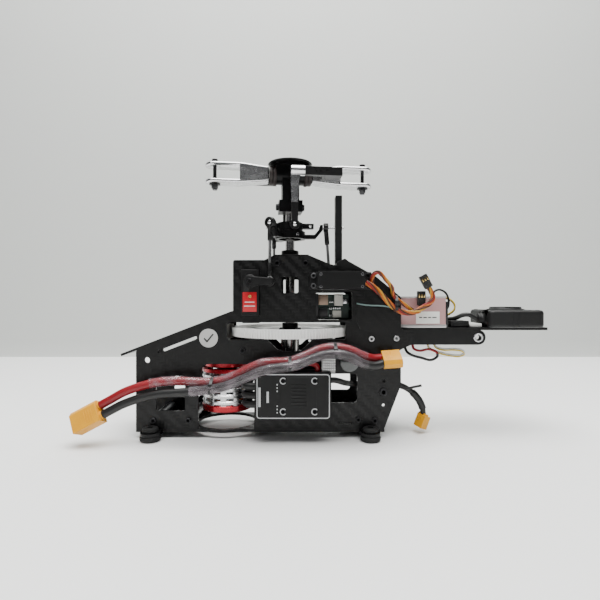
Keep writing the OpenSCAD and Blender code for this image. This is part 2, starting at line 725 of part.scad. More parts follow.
module shaft_bearings() {
    color("silver") at_shaft() for (z = bearing_tops) difference() {
        rod_z(0, 0, [z - bearing_w, z], bearing_d / 2);
        rod_z(0, 0, [z - bearing_w - 1, z + 1], shaft_d / 2 + 0.02);
    }
}

module foot_at(x, y) {
    translate([x, y, 0]) difference() {
        union() {
            cylinder(r1 = foot_d / 2 - 0.6, r2 = foot_d / 2, h = 0.8);
            translate([0, 0, 0.8]) cylinder(r = foot_d / 2, h = foot_h - 0.8);
            translate([0, 0, foot_h]) cylinder(r = foot_hole_d / 2 + 1.1, h = bottom_t);
            translate([0, 0, plate_z]) cylinder(r = 4, h = 2.4);
        }
        translate([0, 0, -1]) cylinder(r = foot_hole_d / 2, h = 20);
    }
}
module rubber_feet() {
    color("#0c0c0c") at_shaft() for (x = feet_x, s = [-1, 1]) foot_at(x, s * foot_y);
}

module guide_post() {
    slot_half = 0.85;
    color("#141414") at_shaft() difference() {
        union() {
            block([24.9, 28.5], [-3.4, 3.4], [86, swash_z + 17.2]);
            slab(-inner_w, inner_w) polygon([[24.5, 86.8], [24.5, 90.5], [28.8, 92.6], [31, 91],
                [43, frame_top - 9.7],
                [50, frame_top - 15.6], [48, frame_top - 17], [42, 82.8], [38.3, 85.8], [34, 86.8]]);
        }
        block([24, 29.5], [-slot_half, slot_half], [swash_z - 8, swash_z + 8]);
    }
}

// ---- electronics ----

module speed_controller() {
    x1 = esc_x + esc_l;
    z1 = esc_z + esc_h;
    color("#0f0f0f") at_shaft() union() {
        difference() {
            block([esc_x, x1], esc_y, [esc_z, z1]);
            for (x = [esc_x + 13.6, esc_x + 29], z = [esc_z + 4, esc_z + esc_h - 4])
                rod_y(x, [esc_y[0] - 1, esc_y[0] + 0.6], z, 1.5);
        }
        block([16.5, 22.5], [-27, -half_w - 1.4], [z1, z1 + 7]);
        rod_y(30, [-26.4, -half_w - 1.4], 40, 4.4);
    }
}

module flight_controller() {
    color("#b08a8c") at_shaft() block([58.5, 82.4], [-12, 12], [box_z, box_z + 16.4]);
}

module receiver() {
    color("#26362e") at_shaft() union() {
        block([15, 31.5], [-8, -6.4], [61.4, 74]);
        block([15.5, 21], [-11, -8], [68, 73.6]);
        block([15.5, 21], [-11, -8], [62, 67]);
        block([23.5, 27.5], [-12, -8], [68, 73.6]);
        block([22.5, 27], [-12, -8], [61.8, 67]);
        block([13.5, 33], [-6.4, inner_w], [65.5, 67.5]);
    }
}

module boom_mount() {
    color("#161616") at_shaft() difference() {
        union() {
            block([39, 60], [-inner_w, inner_w], [boom_z, shelf_z]);
            for (s = [-1, 1]) slab(s > 0 ? 5 : -8, s > 0 ? 8 : -5)
                polygon(rounded([[59, boom_z, 0], [boom_end, boom_z, 3.9], [boom_end, shelf_z, 3.9],
                    [59, shelf_z, 0]]));
            block([59, 82], [-8, 8], [boom_z, shelf_z]);
        }
        drill_y(boom_hole.x, boom_hole.y, 1.5);
        for (p = [[42.3, 51], [55.1, 51.2]], s = [-1, 1])
            rod_y(p.x, s > 0 ? [half_w - 3.5, inner_w + 1] : [-inner_w - 1, 3.5 - half_w], p.y, 0.9);
    }
}

module gps_shelf() {
    color("#141414") at_shaft() block([58, rear_reach], [-10, 10], [shelf_z, box_z]);
}

module gps_module() {
    x0 = rear_reach - 32.5;
    color("#0e0e0e") at_shaft() union() {
        translate([x0, -14, box_z]) translate([3, 3, 0]) linear_extrude(9.2) union() {
            translate([-3, 0]) square([29.5, 22]);
            translate([0, -3]) square([23.5, 28]);
            for (x = [0, 23.5], y = [0, 22]) translate([x, y]) circle(r = 3);
        }
        rod_z(x0 + 14.7, 0, [box_z, box_z + 9.9], 8);
        rod_x([x0 - 3.2, x0 + 1], -5, box_z + 4.4, 2.9);
    }
}

// ---- plugs and leads ----

// a two-pole plug along X, wires entering at x = 0
module plug(w, t, l) {
    difference() {
        translate([-l, 0, 0]) rotate([90, 0, 90]) linear_extrude(l) polygon([[-w / 2, -t / 2],
            [-w / 2, t / 2],
            [w / 2 - t * 0.28, t / 2], [w / 2, t * 0.22], [w / 2, -t * 0.22],
            [w / 2 - t * 0.28, -t / 2]]);
        for (s = [-1, 1]) rod_x([-l - 1, -l * 0.45], s * w * 0.23, 0, w * 0.16);
    }
}
module battery_plug() {
    color("#f2b21c") at_shaft() translate([-91.5, -29.5, 17.2]) rotate([0, -28, 0])
        rotate([66, 0, 0]) plug(plug_w, 7, 14);
}
module spare_plug() {
    color("#f2b21c") at_shaft() translate([46, -27.8, 41.3]) rotate([0, 4, 180]) rotate([-30, 0, 0])
        plug(plug_w * 0.85, 5.2, 9);
}
module tail_plug() {
    color("#f2b21c") at_shaft() translate([71.6, -8, 9.6]) rotate([0, -70, 0]) rotate([30, 0, 0])
        plug(6.6, 4.4, 6.8);
}
module servo_plugs() {
    color("#171717") at_shaft() {
        translate([71.6, -17.8, 77.4]) rotate([0, -28, 0]) block([-2, 2], [-1.4, 1.4], [0, 7]);
        block([66.6, 70.6], [-16, -13.2], [68.2, 75.6]);
    }
}

// routes of the free leads
red_route = [[46, -25.9, 42.4], [41, -27.8, 42.4], [35.6, -29.8, 44.2], [29.8, -30.2, 46.8],
    [24, -30.4, 48],
    [17, -30.4, 47.6], [11, -30.6, 45.4], [5, -30.8, 42.8], [0, -30.8, 41.4], [-7, -30.6, 41],
    [-13, -30.4, 40.4],
    [-19, -30, 38], [-25, -29.6, 34.8], [-31, -29.2, 32.2], [-38, -28.8, 31], [-46, -28.4, 31],
    [-54, -28.4, 31.4],
    [-63, -28.6, 31], [-72, -29, 29], [-80, -29, 26.2], [-86.5, -28.8, 22.6], [-92.4, -28.6, 19.3]];
black_route = [[46, -29.7, 40.2], [41, -32, 39.4], [35.6, -33.6, 40.6], [29.8, -34.6, 43.8],
    [24, -35, 45.4],
    [17, -35.2, 45], [11, -35.4, 43], [5, -35.4, 40.6], [0, -35.4, 39.4], [-7, -35.2, 38.6],
    [-13, -35, 37.2],
    [-19, -34.6, 34.6], [-25, -34, 31.8], [-31, -33.4, 29.6], [-38, -32.6, 28.2], [-46, -31.6, 27],
    [-54, -30.8, 26.2],
    [-63, -30, 25.4], [-72, -29.8, 23.4], [-80, -30, 20.6], [-85.4, -30.2, 17.9], [-90.4, -30.4, 15.2]];
tail_route = [[20.9, -24, 31], [22.8, -23.8, 31], [25.4, -22.4, 30.2], [27.8, -19.6, 29],
    [30, -16.2, 28], [32.6, -13.4, 27.2],
    [36.4, -12, 26.8], [42.8, -11, 26.6], [50, -10, 26.8], [56, -9, 26.4], [61, -8.4, 24.6],
    [65.6, -8, 21.6], [69, -8, 17.8],
    [71, -8, 13.6], [71.6, -8, 9.8]];
servo_near_route = [[38.6, -22.4, 79.8], [42, -22.8, 77.8], [45.4, -23, 74.6], [48.4, -22.8, 71.4],
    [51.4, -22.2, 68.4],
    [54.4, -21.4, 66.2], [57.8, -20.6, 64.8], [61.6, -20, 64.4], [65, -19.6, 65.4],
    [68.4, -19.2, 67.4], [71.6, -18.8, 69.2],
    [73.6, -18.4, 72], [73, -18, 75], [71.6, -17.8, 77.4]];
servo_far_route = [[42.4, -19.6, 78.6], [42.4, -20, 81.6], [43.2, -20.6, 84.2], [45.2, -21, 85.2],
    [47.2, -21.2, 83.8],
    [49, -21.4, 81.6], [50.8, -21.4, 79.4], [52.2, -21.2, 77], [52.6, -20.6, 74.6],
    [53.2, -20.4, 72.4], [55.4, -19.8, 70.6],
    [58.6, -18.6, 68.4], [62, -16.9, 66.4], [65.4, -15.4, 65], [68, -14.6, 66], [68.6, -14.6, 68.2]];
module battery_lead_red() { color("#b3131b") at_shaft() tube(red_route, 4.2, 10); }
module battery_lead_black() { color("#151515") at_shaft() tube(black_route, 4.2, 10); }
module tail_lead() { color("#121212") at_shaft() tube(tail_route, 3); }
module servo_lead_near() { color("#6b3a1e") at_shaft() tube(servo_near_route, 3); }
module servo_lead_far() { color("#c8761a") at_shaft() tube(servo_far_route, 3); }

// leads held at both ends: motor to speed controller, and its supply
module fixed_leads() {
    color("#0d0d0d") at_shaft() {
        for (z = [27.8, 23.4, 19])
            tube([[-21.2, -6, z + 2], [-20.4, -10, z + 1], [-20.8, -14, z + 0.4], [-22.4, -17.6, z],
                [-22.4, -21, z], [-20, -23.4, z], [esc_x, -23.8, z]], 3.2);
        tube([[14, -25, esc_z + esc_h], [14, -25, 38], [10.4, -25, 39.6], [5, -25, 39],
            [0, -25, 37.4], [-3, -25, esc_z + esc_h]], 2.6);
    }
}

// leads held at both ends: tail shelf, receiver box and boom mount
module box_leads() {
    x0 = rear_reach - 35.7;
    color("#101010") at_shaft() {
        tube([[82.4, 3, 61], [85, 2.2, 60.6], [88, 0, 60.4], [91, -2.6, 61.2], [94, -4.4, 62.8],
            [97, -5, 63],
            [99.4, -5, 61.8], [x0, -5, 60.8]], 2.2);
        tube([[82.4, 8, 70.6], [86, 7.4, 72], [90, 6.6, 71.4], [93, 6, 68.6], [93, 6, 65.2],
            [90, 6.6, 62.6], [86, 7.4, 61.6],
            [82.4, 8, 62]], 1.2);
        tube([[80, 2, box_z + 16.4], [80.4, 2.4, 75.4], [83.6, 3, 76.8], [87.4, 3.4, 75],
            [89, 3.4, 71], [88.6, 3.2, 67],
            [86, 2.6, 65.4], [82.4, 2, 65.4]], 1.2);
        tube([[66.4, -5.4, 47], [67.2, -5.6, 44.6], [70.4, -6, 43.6], [75, -6, 44.4], [79, -6, 43],
            [79.6, -6, 40.4],
            [76, -6, 38.6], [71, -6, 39.8], [66.6, -6, 41], [63.6, -4.4, 43], [62.6, -2, 47]], 1.7);
        tube([[80, 2, 47], [81.4, 1.2, 44.6], [85, 0, 43.6], [90, -1, 43.8], [94.6, -1, 43.2],
            [96, -1, 41.4], [93, -1, 40.2],
            [88, 0, 40.6], [82, 2, 42], [78, 3, 44], [77, 3, 47]], 1.5);
    }
}

main_shaft();
rotor_hub();
head_button();
feathering_spindle();
rotor_bolts();
shaft_collar();
main_gear();
gear_hub();
belt_pulley();
swash_lower_ring();
swash_upper_ring();
swash_uniball();
blade_grip_front();
blade_grip_rear();
grip_arm_front();
grip_arm_rear();
blade_bolt_front();
blade_bolt_rear();
drive_arm_front();
drive_arm_rear();
servo_horn_left();
servo_horn_right();
servo_horn_rear();
pushrod_left();
pushrod_right();
pushrod_rear();
motor_bell();
pinion();
motor_base();
motor_mount();
side_plate_left();
side_plate_right();
battery_tray();
bottom_plate();
frame_spacers();
frame_screws();
bearing_blocks();
shaft_bearings();
rubber_feet();
servo_left();
servo_right();
servo_rear();
guide_post();
speed_controller();
flight_controller();
receiver();
boom_mount();
gps_shelf();
gps_module();
battery_plug();
spare_plug();
tail_plug();
servo_plugs();
battery_lead_red();
battery_lead_black();
tail_lead();
servo_lead_near();
servo_lead_far();
fixed_leads();
box_leads();
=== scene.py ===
from math import cos, pi, radians, sin

import bmesh
import bpy
from mathutils import Matrix, Vector


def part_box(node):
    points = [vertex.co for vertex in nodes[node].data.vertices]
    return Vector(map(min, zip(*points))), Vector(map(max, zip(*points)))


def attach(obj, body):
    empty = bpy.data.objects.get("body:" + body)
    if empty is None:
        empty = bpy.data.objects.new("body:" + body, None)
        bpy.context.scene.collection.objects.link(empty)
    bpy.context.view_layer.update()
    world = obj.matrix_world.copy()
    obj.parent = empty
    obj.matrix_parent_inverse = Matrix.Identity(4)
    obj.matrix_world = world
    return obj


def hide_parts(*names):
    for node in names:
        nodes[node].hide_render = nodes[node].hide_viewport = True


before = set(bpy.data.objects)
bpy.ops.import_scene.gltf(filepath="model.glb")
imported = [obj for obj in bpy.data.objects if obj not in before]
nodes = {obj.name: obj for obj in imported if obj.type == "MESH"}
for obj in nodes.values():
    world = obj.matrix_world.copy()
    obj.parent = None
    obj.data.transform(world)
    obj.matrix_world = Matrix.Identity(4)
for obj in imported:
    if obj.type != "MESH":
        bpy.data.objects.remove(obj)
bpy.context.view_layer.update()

# ---- Camera ----
# A level camera close to the near side, a little above half the model's height, with the wide lens
# of a telephone. Places in this script are in millimetres from the main shaft's axis, with z up from
# the ground, and at() turns such a place into metres in the frame.
MM = 0.001
shaft_low, shaft_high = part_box("main_shaft")
shaft = (shaft_low + shaft_high) / 2


def at(x, y, z):
    """The place in the frame of a point given in millimetres from the shaft."""
    return Vector((shaft.x + x * MM, shaft.y + y * MM, z * MM))


lens = bpy.data.cameras.new("camera")
lens.sensor_width = 36
lens.lens = 25.98
lens.clip_start = 0.01
camera = bpy.data.objects.new("camera", lens)
camera.location = at(5.5, -240, 71)
camera.rotation_euler = (radians(90), 0, 0)
bpy.context.scene.collection.objects.link(camera)
bpy.context.scene.camera = camera


# ---- Battery leads ----
# Two leads in silicone rubber, 4.2 mm thick, red over black. They run from the spare plug behind
# the speed controller, over its top and forward to the battery plug.
def new_surface(name):
    """An empty material and its shader."""
    material = bpy.data.materials.new(name)
    material.use_nodes = True
    return material, material.node_tree.nodes["Principled BSDF"]


def add_noise(material, vector, scale, detail):
    """The value of a noise that is read at a vector."""
    noise = material.node_tree.nodes.new("ShaderNodeTexNoise")
    noise.inputs["Scale"].default_value = scale
    noise.inputs["Detail"].default_value = detail
    material.node_tree.links.new(vector, noise.inputs["Vector"])
    return noise.outputs["Fac"]


def add_range(material, value, target, low, high, start=0, end=1):
    """Feeds a socket from low to high as a value goes from start to end."""
    spread = material.node_tree.nodes.new("ShaderNodeMapRange")
    for socket, number in (("From Min", start), ("From Max", end), ("To Min", low), ("To Max", high)):
        spread.inputs[socket].default_value = number
    material.node_tree.links.new(value, spread.inputs["Value"])
    material.node_tree.links.new(spread.outputs["Result"], target)


def add_relief(material, height, target, strength, depth):
    """Gives a shader's normal socket the slopes of a height."""
    relief = material.node_tree.nodes.new("ShaderNodeBump")
    relief.inputs["Strength"].default_value = strength
    relief.inputs["Distance"].default_value = depth
    material.node_tree.links.new(height, relief.inputs["Height"])
    material.node_tree.links.new(relief.outputs["Normal"], target)


def finish(name, colour, second, rough, metallic=0.0, grain=300, bump=0.1, coat=0.0, stretch=(1, 1, 1),
        shine=0.4):
    """A surface whose colour drifts between two tones, with a grain that also varies its gloss."""
    material, shader = new_surface(name)
    tree, links = material.node_tree.nodes, material.node_tree.links
    shader.inputs["Metallic"].default_value = metallic
    shader.inputs["Specular IOR Level"].default_value = shine
    shader.inputs["Coat Weight"].default_value = coat
    shader.inputs["Coat Roughness"].default_value = 0.12
    place = tree.new("ShaderNodeTexCoord")
    turn = tree.new("ShaderNodeMapping")
    turn.inputs["Scale"].default_value = stretch
    links.new(place.outputs["Object"], turn.inputs["Vector"])
    drift = add_noise(material, turn.outputs["Vector"], grain * 0.2, 4)
    fine = add_noise(material, turn.outputs["Vector"], grain, 6)
    mix = tree.new("ShaderNodeMix")
    mix.data_type = "RGBA"
    mix.inputs[6].default_value = (*colour, 1)
    mix.inputs[7].default_value = (*second, 1)
    links.new(drift, mix.inputs[0])
    links.new(mix.outputs[2], shader.inputs["Base Color"])
    add_range(material, fine, shader.inputs["Roughness"], max(rough - 0.1, 0.03), min(rough + 0.12, 1))
    add_relief(material, fine, shader.inputs["Normal"], bump, 0.2 * MM)
    return material


def smooth(places, steps=6):
    """Points in the frame along one smooth curve through places given in millimetres."""
    points = [at(*place) for place in places]
    ends = [points[0] * 2 - points[1], *points, points[-1] * 2 - points[-2]]
    line = []
    for a, b, c, d in zip(ends, ends[1:], ends[2:], ends[3:]):
        for t in (i / steps for i in range(steps)):
            curve = 2 * b + (c - a) * t + (2 * a - 5 * b + 4 * c - d) * t**2
            line.append((curve + (3 * b - a - 3 * c + d) * t**3) / 2)
    return line + [points[-1]]


def lead(name, line, thick, material):
    """A round lead as a curve along a line, thick millimetres across."""
    data = bpy.data.curves.new(name, "CURVE")
    data.dimensions = "3D"
    data.bevel_depth = thick * MM / 2
    data.bevel_resolution = 4
    data.use_fill_caps = True
    spline = data.splines.new("POLY")
    spline.points.add(len(line) - 1)
    for point, place in zip(spline.points, line):
        point.co = (*place, 1)
    data.materials.append(material)
    piece = bpy.data.objects.new(name, data)
    bpy.context.scene.collection.objects.link(piece)
    return piece


red_silicone = finish("red silicone", (0.17, 0.003, 0.007), (0.25, 0.006, 0.011), 0.4, grain=500, bump=0.12)
black_silicone = finish("black silicone", (0.004, 0.004, 0.004), (0.009, 0.009, 0.009), 0.42, grain=500,
    bump=0.12)
red_route = [(46, -25.9, 42.4), (41, -27.8, 42.4), (35.6, -29.8, 44.2), (29.8, -30.2, 46.8),
    (24, -30.4, 48), (17, -30.4, 47.6), (11, -30.6, 45.4), (5, -30.8, 42.8), (0, -30.8, 41.4),
    (-7, -30.6, 41), (-13, -30.4, 40.4), (-19, -30, 38), (-25, -29.6, 34.8), (-31, -29.2, 32.2),
    (-38, -28.8, 31), (-46, -28.4, 31), (-54, -28.4, 31.4), (-63, -28.6, 31), (-72, -29, 29),
    (-80, -29, 26.2), (-86.5, -28.8, 22.6), (-92.4, -28.6, 19.3)]
black_route = [(46, -29.7, 40.2), (41, -32, 39.4), (35.6, -33.6, 40.6), (29.8, -34.6, 43.8),
    (24, -35, 45.4), (17, -35.2, 45), (11, -35.4, 43), (5, -35.4, 40.6), (0, -35.4, 39.4),
    (-7, -35.2, 38.6), (-13, -35, 37.2), (-19, -34.6, 34.6), (-25, -34, 31.8), (-31, -33.4, 29.6),
    (-38, -32.6, 28.2), (-46, -31.6, 27), (-54, -30.8, 26.2), (-63, -30, 25.4), (-72, -29.8, 23.4),
    (-80, -30, 20.6), (-85.4, -30.2, 17.9), (-90.4, -30.4, 15.2)]
red_line = smooth(red_route)
black_line = smooth(black_route)
battery_wire = 4.2
red_lead = lead("battery_lead_red_wire", red_line, battery_wire, red_silicone)
black_lead = lead("battery_lead_black_wire", black_line, battery_wire, black_silicone)
for piece, node, slot in (
        (red_lead, "battery_lead_red", "lead_red"), (black_lead, "battery_lead_black", "lead_black")):
    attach(piece, "frame")
    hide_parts(node)


# ---- Clear sleeves on the battery leads ----
# Clear heat-shrink tube over the middle of each lead. It was shrunk by hand, so it is wrinkled,
# cloudy and stands a little off the wire at its ends.
def clear_plastic(name):
    """Clear plastic with cloudy patches and a wrinkled surface."""
    material, shader = new_surface(name)
    shader.inputs["Base Color"].default_value = (0.3, 0.25, 0.28, 1)
    shader.inputs["Roughness"].default_value = 0.16
    shader.inputs["Coat Weight"].default_value = 1
    place = material.node_tree.nodes.new("ShaderNodeTexCoord")
    cloud = add_noise(material, place.outputs["Object"], 160, 5)
    add_range(material, cloud, shader.inputs["Alpha"], 0.1, 0.42, start=0.45, end=0.68)
    add_relief(material, cloud, shader.inputs["Normal"], 0.6, 0.6 * MM)
    return material


def mesh_piece(name, shape, *materials, sharp=35):
    """A bmesh made into an object, smooth but for its sharp edges."""
    bmesh.ops.recalc_face_normals(shape, faces=shape.faces)
    data = bpy.data.meshes.new(name)
    shape.to_mesh(data)
    shape.free()
    for material in materials:
        data.materials.append(material)
    for face in data.polygons:
        face.use_smooth = True
    data.set_sharp_from_angle(angle=radians(sharp))
    piece = bpy.data.objects.new(name, data)
    bpy.context.scene.collection.objects.link(piece)
    return piece


def curve_mesh(shape, line, thick, paint=0):
    """A round strand along a line, added to a bmesh."""
    scratch = lead("strand", line, thick, None)
    made = scratch.evaluated_get(bpy.context.evaluated_depsgraph_get()).to_mesh()
    old = set(shape.faces)
    shape.from_mesh(made)
    for face in set(shape.faces) - old:
        face.material_index = paint
    bpy.data.objects.remove(scratch)


clear_sleeve = clear_plastic("clear shrink tube")
wrinkle = 0.16
for name, line, start, end in (("sleeve_red", red_line, 10, 106), ("sleeve_black", black_line, 10, 92)):
    shape = bmesh.new()
    curve_mesh(shape, line[start:end], battery_wire + 0.8)
    shape.verts.ensure_lookup_table()
    for vert in shape.verts:
        ripple = sin(vert.co.x / MM * 1.9) * sin(vert.co.x / MM * 0.7 + vert.co.z / MM)
        near = min(line, key=lambda p: (p - vert.co).length)
        vert.co += (vert.co - near).normalized() * wrinkle * MM * ripple
    piece = mesh_piece(name, shape, clear_sleeve, sharp=60)
    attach(piece, "frame")


# ---- Power plugs ----
# Moulded yellow nylon plugs with two chamfered corners that stop them going in the wrong way,
# gripping ribs on their flat sides and gold-plated pins deep in their sockets.
def softened(node, body, width, *materials, segments=2, below=None, clamp=True):
    """A CAD piece with its edges rounded. Under the height given, it takes its second material."""
    shape = bmesh.new()
    shape.from_mesh(nodes[node].data)
    bmesh.ops.remove_doubles(shape, verts=shape.verts, dist=5e-6)
    bmesh.ops.dissolve_limit(shape, angle_limit=radians(1.5), verts=shape.verts, edges=shape.edges)
    if below:
        bmesh.ops.bisect_plane(shape, geom=[*shape.verts, *shape.edges, *shape.faces], dist=1e-6,
            plane_co=(0, 0, below * MM), plane_no=(0, 0, 1))
        for face in shape.faces:
            face.material_index = int(face.calc_center_median().z < below * MM)
    piece = mesh_piece(node + "_finish", shape, *materials, sharp=32)
    edge = piece.modifiers.new("edge", "BEVEL")
    edge.width = width * MM
    edge.segments = segments
    edge.limit_method = "ANGLE"
    edge.angle_limit = radians(38)
    edge.use_clamp_overlap = clamp
    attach(piece, body)
    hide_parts(node)
    return piece


def add_rod(shape, a, b, radius, sides=24, paint=0, bevel=0.0):
    """A round rod between two places, with its end edges bevelled, added to a bmesh."""
    along = b - a
    turn = along.to_track_quat("Z", "Y").to_matrix().to_4x4()
    old = set(shape.faces)
    made = bmesh.ops.create_cone(shape, cap_ends=True, segments=sides, radius1=radius, radius2=radius,
        depth=along.length, matrix=Matrix.Translation((a + b) / 2) @ turn)
    if bevel:
        rims = {e for v in made["verts"] for e in v.link_edges
            if any(len(f.verts) > 4 for f in e.link_faces)}
        bmesh.ops.bevel(shape, geom=list(rims), offset=bevel, segments=2, profile=0.5, affect="EDGES",
            material=-1)
    for face in set(shape.faces) - old:
        face.material_index = paint


def add_block(shape, low, high, bevel=0.0, paint=0, matrix=None):
    """A block between two corners, with its edges bevelled, added to a bmesh."""
    old = set(shape.faces)
    size = high - low
    made = bmesh.ops.create_cube(shape, size=1,
        matrix=Matrix.Translation((low + high) / 2) @ Matrix.Diagonal((*size, 1)))["verts"]
    if bevel:
        edges = {e for v in made for e in v.link_edges}
        made = bmesh.ops.bevel(shape, geom=list(edges), offset=bevel, segments=2, profile=0.5,
            affect="EDGES", material=-1)["verts"]
    new = set(shape.faces) - old
    for face in new:
        face.material_index = paint
    if matrix:
        bmesh.ops.transform(shape, matrix=matrix, verts=list({v for f in new for v in f.verts}))


yellow_nylon = finish("yellow nylon", (0.62, 0.26, 0.004), (0.72, 0.34, 0.008), 0.36, grain=700, bump=0.14)
gold = finish("gold plate", (0.75, 0.5, 0.16), (0.85, 0.62, 0.24), 0.25, metallic=1.0, grain=600)
for node, middle, (heading, pitch), roll, width, thick, long in (
        ("battery_plug", (-91.5, -29.5, 17.2), (0, -28), 66, 11, 7, 14),
        ("spare_plug", (46, -27.8, 41.3), (180, 4), -30, 9.35, 5.2, 9),
        ("tail_plug", (71.6, -8, 9.6), (0, -70), 30, 6.6, 4.4, 6.8)):
    body = softened(node, "frame", 0.45, yellow_nylon, segments=3)
    turn = Matrix.Translation(at(*middle))
    for angle, axis in ((heading, "Z"), (pitch, "Y"), (roll, "X")):
        turn = turn @ Matrix.Rotation(radians(angle), 4, axis)
    shape = bmesh.new()
    for side in (-1, 1):
        pole = side * width * 0.23
        add_rod(shape, Vector((-long * 0.9, pole, 0)) * MM, Vector((-long * 0.44, pole, 0)) * MM,
            width * 0.1 * MM, sides=20, bevel=0.3 * MM, paint=1)
        add_rod(shape, Vector((-0.3, pole, 0)) * MM, Vector((0.9, pole, 0)) * MM, width * 0.215 * MM,
            bevel=0.3 * MM)
        for i in range(4):
            x = -long * (0.2 + 0.09 * i)
            add_block(shape, Vector((x - 0.22, -width * 0.34, side * thick / 2 - 0.12)) * MM,
                Vector((x + 0.22, width * 0.2, side * thick / 2 + 0.12)) * MM, bevel=0.1 * MM)
    bmesh.ops.transform(shape, matrix=turn, verts=shape.verts)
    detail = mesh_piece(node + "_pins", shape, yellow_nylon, gold)
    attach(detail, "frame")

# ---- Tail lead ----
# The lead for the tail motor: three black wires side by side under braid, out of the speed
# controller, through the frame and down behind it to a small plug near the ground.
tail_route = [(20.9, -24, 31), (22.8, -23.8, 31), (25.4, -22.4, 30.2), (27.8, -19.6, 29), (30, -16.2, 28),
    (32.6, -13.4, 27.2), (36.4, -12, 26.8), (42.8, -11, 26.6), (50, -10, 26.8), (56, -9, 26.4),
    (61, -8.4, 24.6), (65.6, -8, 21.6), (69, -8, 17.8), (71, -8, 13.6), (71.6, -8, 9.8)]
tail_line = smooth(tail_route)
tail_wire = 3
tail_lead = lead("tail_lead_wire", tail_line, tail_wire, black_silicone)
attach(tail_lead, "frame")
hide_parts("tail_lead")
shape = bmesh.new()
curve_mesh(shape, tail_line[66:80], tail_wire + 0.9)
tail_shrink = mesh_piece("tail_lead_shrink", shape, black_silicone, sharp=60)
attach(tail_shrink, "frame")


# ---- Servo leads ----
# Each servo lead is a bundle of thin wires, brown, red, orange and yellow, twisted together.
# Both end in black three-way plugs, tied up beside the receiver box because nothing is plugged in.
def bundle(line, wires, thick, radius, turns):
    """Thin wires twisted about a line."""
    shape = bmesh.new()
    across = Vector((0, 0, 1))
    strands = [[] for _ in wires]
    for i, place in enumerate(line):
        along = (line[min(i + 1, len(line) - 1)] - line[max(i - 1, 0)]).normalized()
        across = (across - along * across.dot(along)).normalized()
        other = along.cross(across)
        for k, strand in enumerate(strands):
            angle = 2 * pi * (turns * i / len(line) + k / len(strands))
            flat = 0.55 + 0.45 * sin(5 * i / len(line) + k)
            strand.append(place + (across * cos(angle) + other * sin(angle) * flat) * radius * MM)
    for strand, colour in zip(strands, wires):
        curve_mesh(shape, strand, thick, colour)
    return shape


wire_colours = [
    finish("brown wire", (0.05, 0.014, 0.006), (0.09, 0.026, 0.01), 0.4, grain=600),
    finish("red wire", (0.2, 0.008, 0.008), (0.28, 0.014, 0.012), 0.38, grain=600),
    finish("orange wire", (0.36, 0.075, 0.006), (0.45, 0.12, 0.009), 0.38, grain=600),
    finish("gold wire", (0.4, 0.2, 0.016), (0.48, 0.27, 0.026), 0.38, grain=600),
]
plug_black = finish("black plug plastic", (0.005, 0.005, 0.0055), (0.012, 0.012, 0.0125), 0.45, grain=600,
    bump=0.15)
servo_near_route = [(38.6, -22.4, 79.8), (42, -22.8, 77.8), (45.4, -23, 74.6), (48.4, -22.8, 71.4),
    (51.4, -22.2, 68.4), (54.4, -21.4, 66.2), (57.8, -20.6, 64.8), (61.6, -20, 64.4), (65, -19.6, 65.4),
    (68.4, -19.2, 67.4), (71.6, -18.8, 69.2), (73.6, -18.4, 72), (73, -18, 75), (71.6, -17.8, 77.4)]
servo_far_route = [(42.4, -19.6, 78.6), (42.4, -20, 81.6), (43.2, -20.6, 84.2), (45.2, -21, 85.2),
    (47.2, -21.2, 83.8), (49, -21.4, 81.6), (50.8, -21.4, 79.4), (52.2, -21.2, 77), (52.6, -20.6, 74.6),
    (53.2, -20.4, 72.4), (55.4, -19.8, 70.6), (58.6, -18.6, 68.4), (62, -16.9, 66.4), (65.4, -15.4, 65),
    (68, -14.6, 66), (68.6, -14.6, 68.2)]
servo_ends = []
for end, turn, height in (
        ("near", Matrix.Translation(at(71.6, -17.8, 77.4)) @ Matrix.Rotation(radians(-28), 4, "Y"), 7),
        ("far", Matrix.Translation(at(68.6, -14.6, 68.2)), 7.4)):
    shape = bmesh.new()
    for x in (-1.3, 0, 1.3):
        add_block(shape, Vector((x - 0.68, -1.4, 0)) * MM, Vector((x + 0.68, 1.4, height)) * MM, 0.16 * MM,
            0, turn)
        add_block(shape, Vector((x - 0.3, -1.5, height * 0.55)) * MM,
            Vector((x + 0.3, -1.36, height * 0.8)) * MM, 0.04 * MM, 1, turn)
    servo_ends.append(mesh_piece("servo_plug_" + end, shape, plug_black, gold))
    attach(servo_ends[-1], "frame")
    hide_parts("servo_plugs")
for name, route, long, twist, end in (("servo_lead_near", servo_near_route, 0.0495, 2.6, servo_ends[0]),
        ("servo_lead_far", servo_far_route, 0.0446, 2.2, servo_ends[1])):
    line = smooth(route)
    piece = mesh_piece(name + "_wires", bundle(line, (0, 1, 2, 0, 3, 2), 0.95, 0.95, twist), *wire_colours,
        sharp=60)
    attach(piece, "frame")
    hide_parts(name)

# ---- Ground and light ----
# A white table stands against a light grey wall. A wide lamp overhead and a weak one on the near
# side give soft shadows and leave the black parts dark, and a third lights the wall.
shape = bmesh.new()
bmesh.ops.create_grid(shape, x_segments=12, y_segments=8, size=1,
    matrix=Matrix.Translation((0, -0.45, 0)) @ Matrix.Diagonal((1.6, 0.75, 1, 1)))
table_white = finish("white table", (0.84, 0.845, 0.84), (0.88, 0.885, 0.88), 0.6, grain=40, bump=0.02)
table = mesh_piece("ground", shape, table_white, sharp=80)
shape = bmesh.new()
foot = [shape.verts.new((-1.6, 0.3, 0)), shape.verts.new((1.6, 0.3, 0))]
run = shape.edges.new(foot)
for y, z in ((0.3006, 0.001), (0.302, 0.004), (0.304, 0.02), (0.312, 1.5)):
    made = bmesh.ops.extrude_edge_only(shape, edges=[run])["geom"]
    run = next(g for g in made if isinstance(g, bmesh.types.BMEdge))
    for vert in run.verts:
        vert.co.y, vert.co.z = y, z
